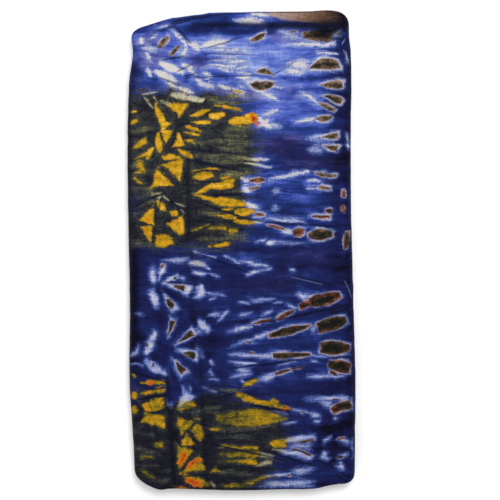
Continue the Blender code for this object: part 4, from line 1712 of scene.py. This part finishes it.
def dyedCottonWithPaintedLight():
    material = bpy.data.materials.new("dyedCottonWithPaintedLight")
    material.use_nodes = True
    shader = material.node_tree.nodes["Principled BSDF"]
    bench = Wire(material.node_tree)
    n = sharedNoises(bench)
    colour = blueGround(bench, n)
    # the dye layers, with the painted highlights, shade and shadow in the last one
    for layer in (hazesOver, oliveOver, petalsOver, facetsOver, coresOver, foldsOver):
        colour = layer(bench, n, colour)
    bench.plug(shader.inputs["Base Color"], colour)
    bench.plug(shader.inputs["Roughness"], cotton["roughness"] + n.crackle * cotton["roughnessChange"])
    bench.plug(shader.inputs["Normal"], weaveBump(bench, n))
    shader.inputs["Specular IOR Level"].default_value = cotton["specular"]
    print("dyed cotton:", len(material.node_tree.nodes), "nodes")
    return material


def storeFields(mesh, fields):
    for name, values in fields.items():
        kind = "FLOAT_VECTOR" if values.ndim == 2 else "FLOAT"
        attribute = mesh.attributes.new(name, kind, "POINT")
        key = "vector" if values.ndim == 2 else "value"
        attribute.data.foreach_set(key, values.astype(np.float32).ravel())


def makeCloth():
    places, chart, flat, polygons, layout = dressedCloth()
    low, high = places.min(axis=0), places.max(axis=0)
    places -= np.array([(low[0] + high[0]) / 2, (low[1] + high[1]) / 2, low[2]])
    mesh = bpy.data.meshes.new("adireCloth")
    mesh.from_pydata(places.tolist(), [], polygons)
    mesh.shade_smooth()
    storeFields(mesh, dyeFields(chart, flat))
    uvMap = mesh.uv_layers.new(name="OFBake")
    uvMap.data.foreach_set("uv", np.array(bakeCorners(layout), np.float32).ravel())
    mesh.materials.append(dyedCottonWithPaintedLight())
    piece = bpy.data.objects.new("adireCloth", mesh)
    bpy.context.scene.collection.objects.link(piece)
    triangles = sum(len(polygon) - 2 for polygon in polygons)
    print("cloth:", len(places), "vertices,", triangles, "triangles, size", (high - low).round(4))
    return piece


clothPiece = makeCloth()


# Plain floor and soft studio light
def makeFloor():
    half = studio["floorSize"] / 2
    mesh = bpy.data.meshes.new("studioFloor")
    corners = [(-half, -half, 0), (half, -half, 0), (half, half, 0), (-half, half, 0)]
    mesh.from_pydata(corners, [], [(0, 1, 2, 3)])
    material = bpy.data.materials.new("paleFloor")
    material.use_nodes = True
    shader = material.node_tree.nodes["Principled BSDF"]
    shader.inputs["Base Color"].default_value = studio["floorColour"]
    shader.inputs["Roughness"].default_value = studio["floorRoughness"]
    mesh.materials.append(material)
    floor = bpy.data.objects.new("studioFloor", mesh)
    bpy.context.scene.collection.objects.link(floor)
    return floor


def softLight(name, place, size, power):
    data = bpy.data.lights.new(name, "AREA")
    data.shape, data.size, data.energy = "SQUARE", size, power
    light = bpy.data.objects.new(name, data)
    light.location = place
    target = Vector((0, 0, 0)) - Vector(place)
    light.rotation_euler = target.to_track_quat("-Z", "Y").to_euler()
    bpy.context.scene.collection.objects.link(light)


floor = makeFloor()
for lightName in ("keyLight", "fillLight"):
    softLight(lightName, **studio[lightName])
world = bpy.data.worlds.new("studioWorld")
world.use_nodes = True
world.node_tree.nodes["Background"].inputs["Color"].default_value = (1, 1, 1, 1)
world.node_tree.nodes["Background"].inputs["Strength"].default_value = studio["worldStrength"]
bpy.context.scene.world = world

cameraData = bpy.data.cameras.new("studioCamera")
cameraData.lens = studio["cameraLens"]
camera = bpy.data.objects.new("studioCamera", cameraData)
camera.location = (studio["cameraX"], 0, studio["cameraHeight"])
bpy.context.scene.collection.objects.link(camera)
bpy.context.scene.camera = camera
bpy.context.scene.view_settings.view_transform = "Standard"
print("studio: floor, two lights and the camera")

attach(clothPiece, "root")
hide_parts("adire_cloth")
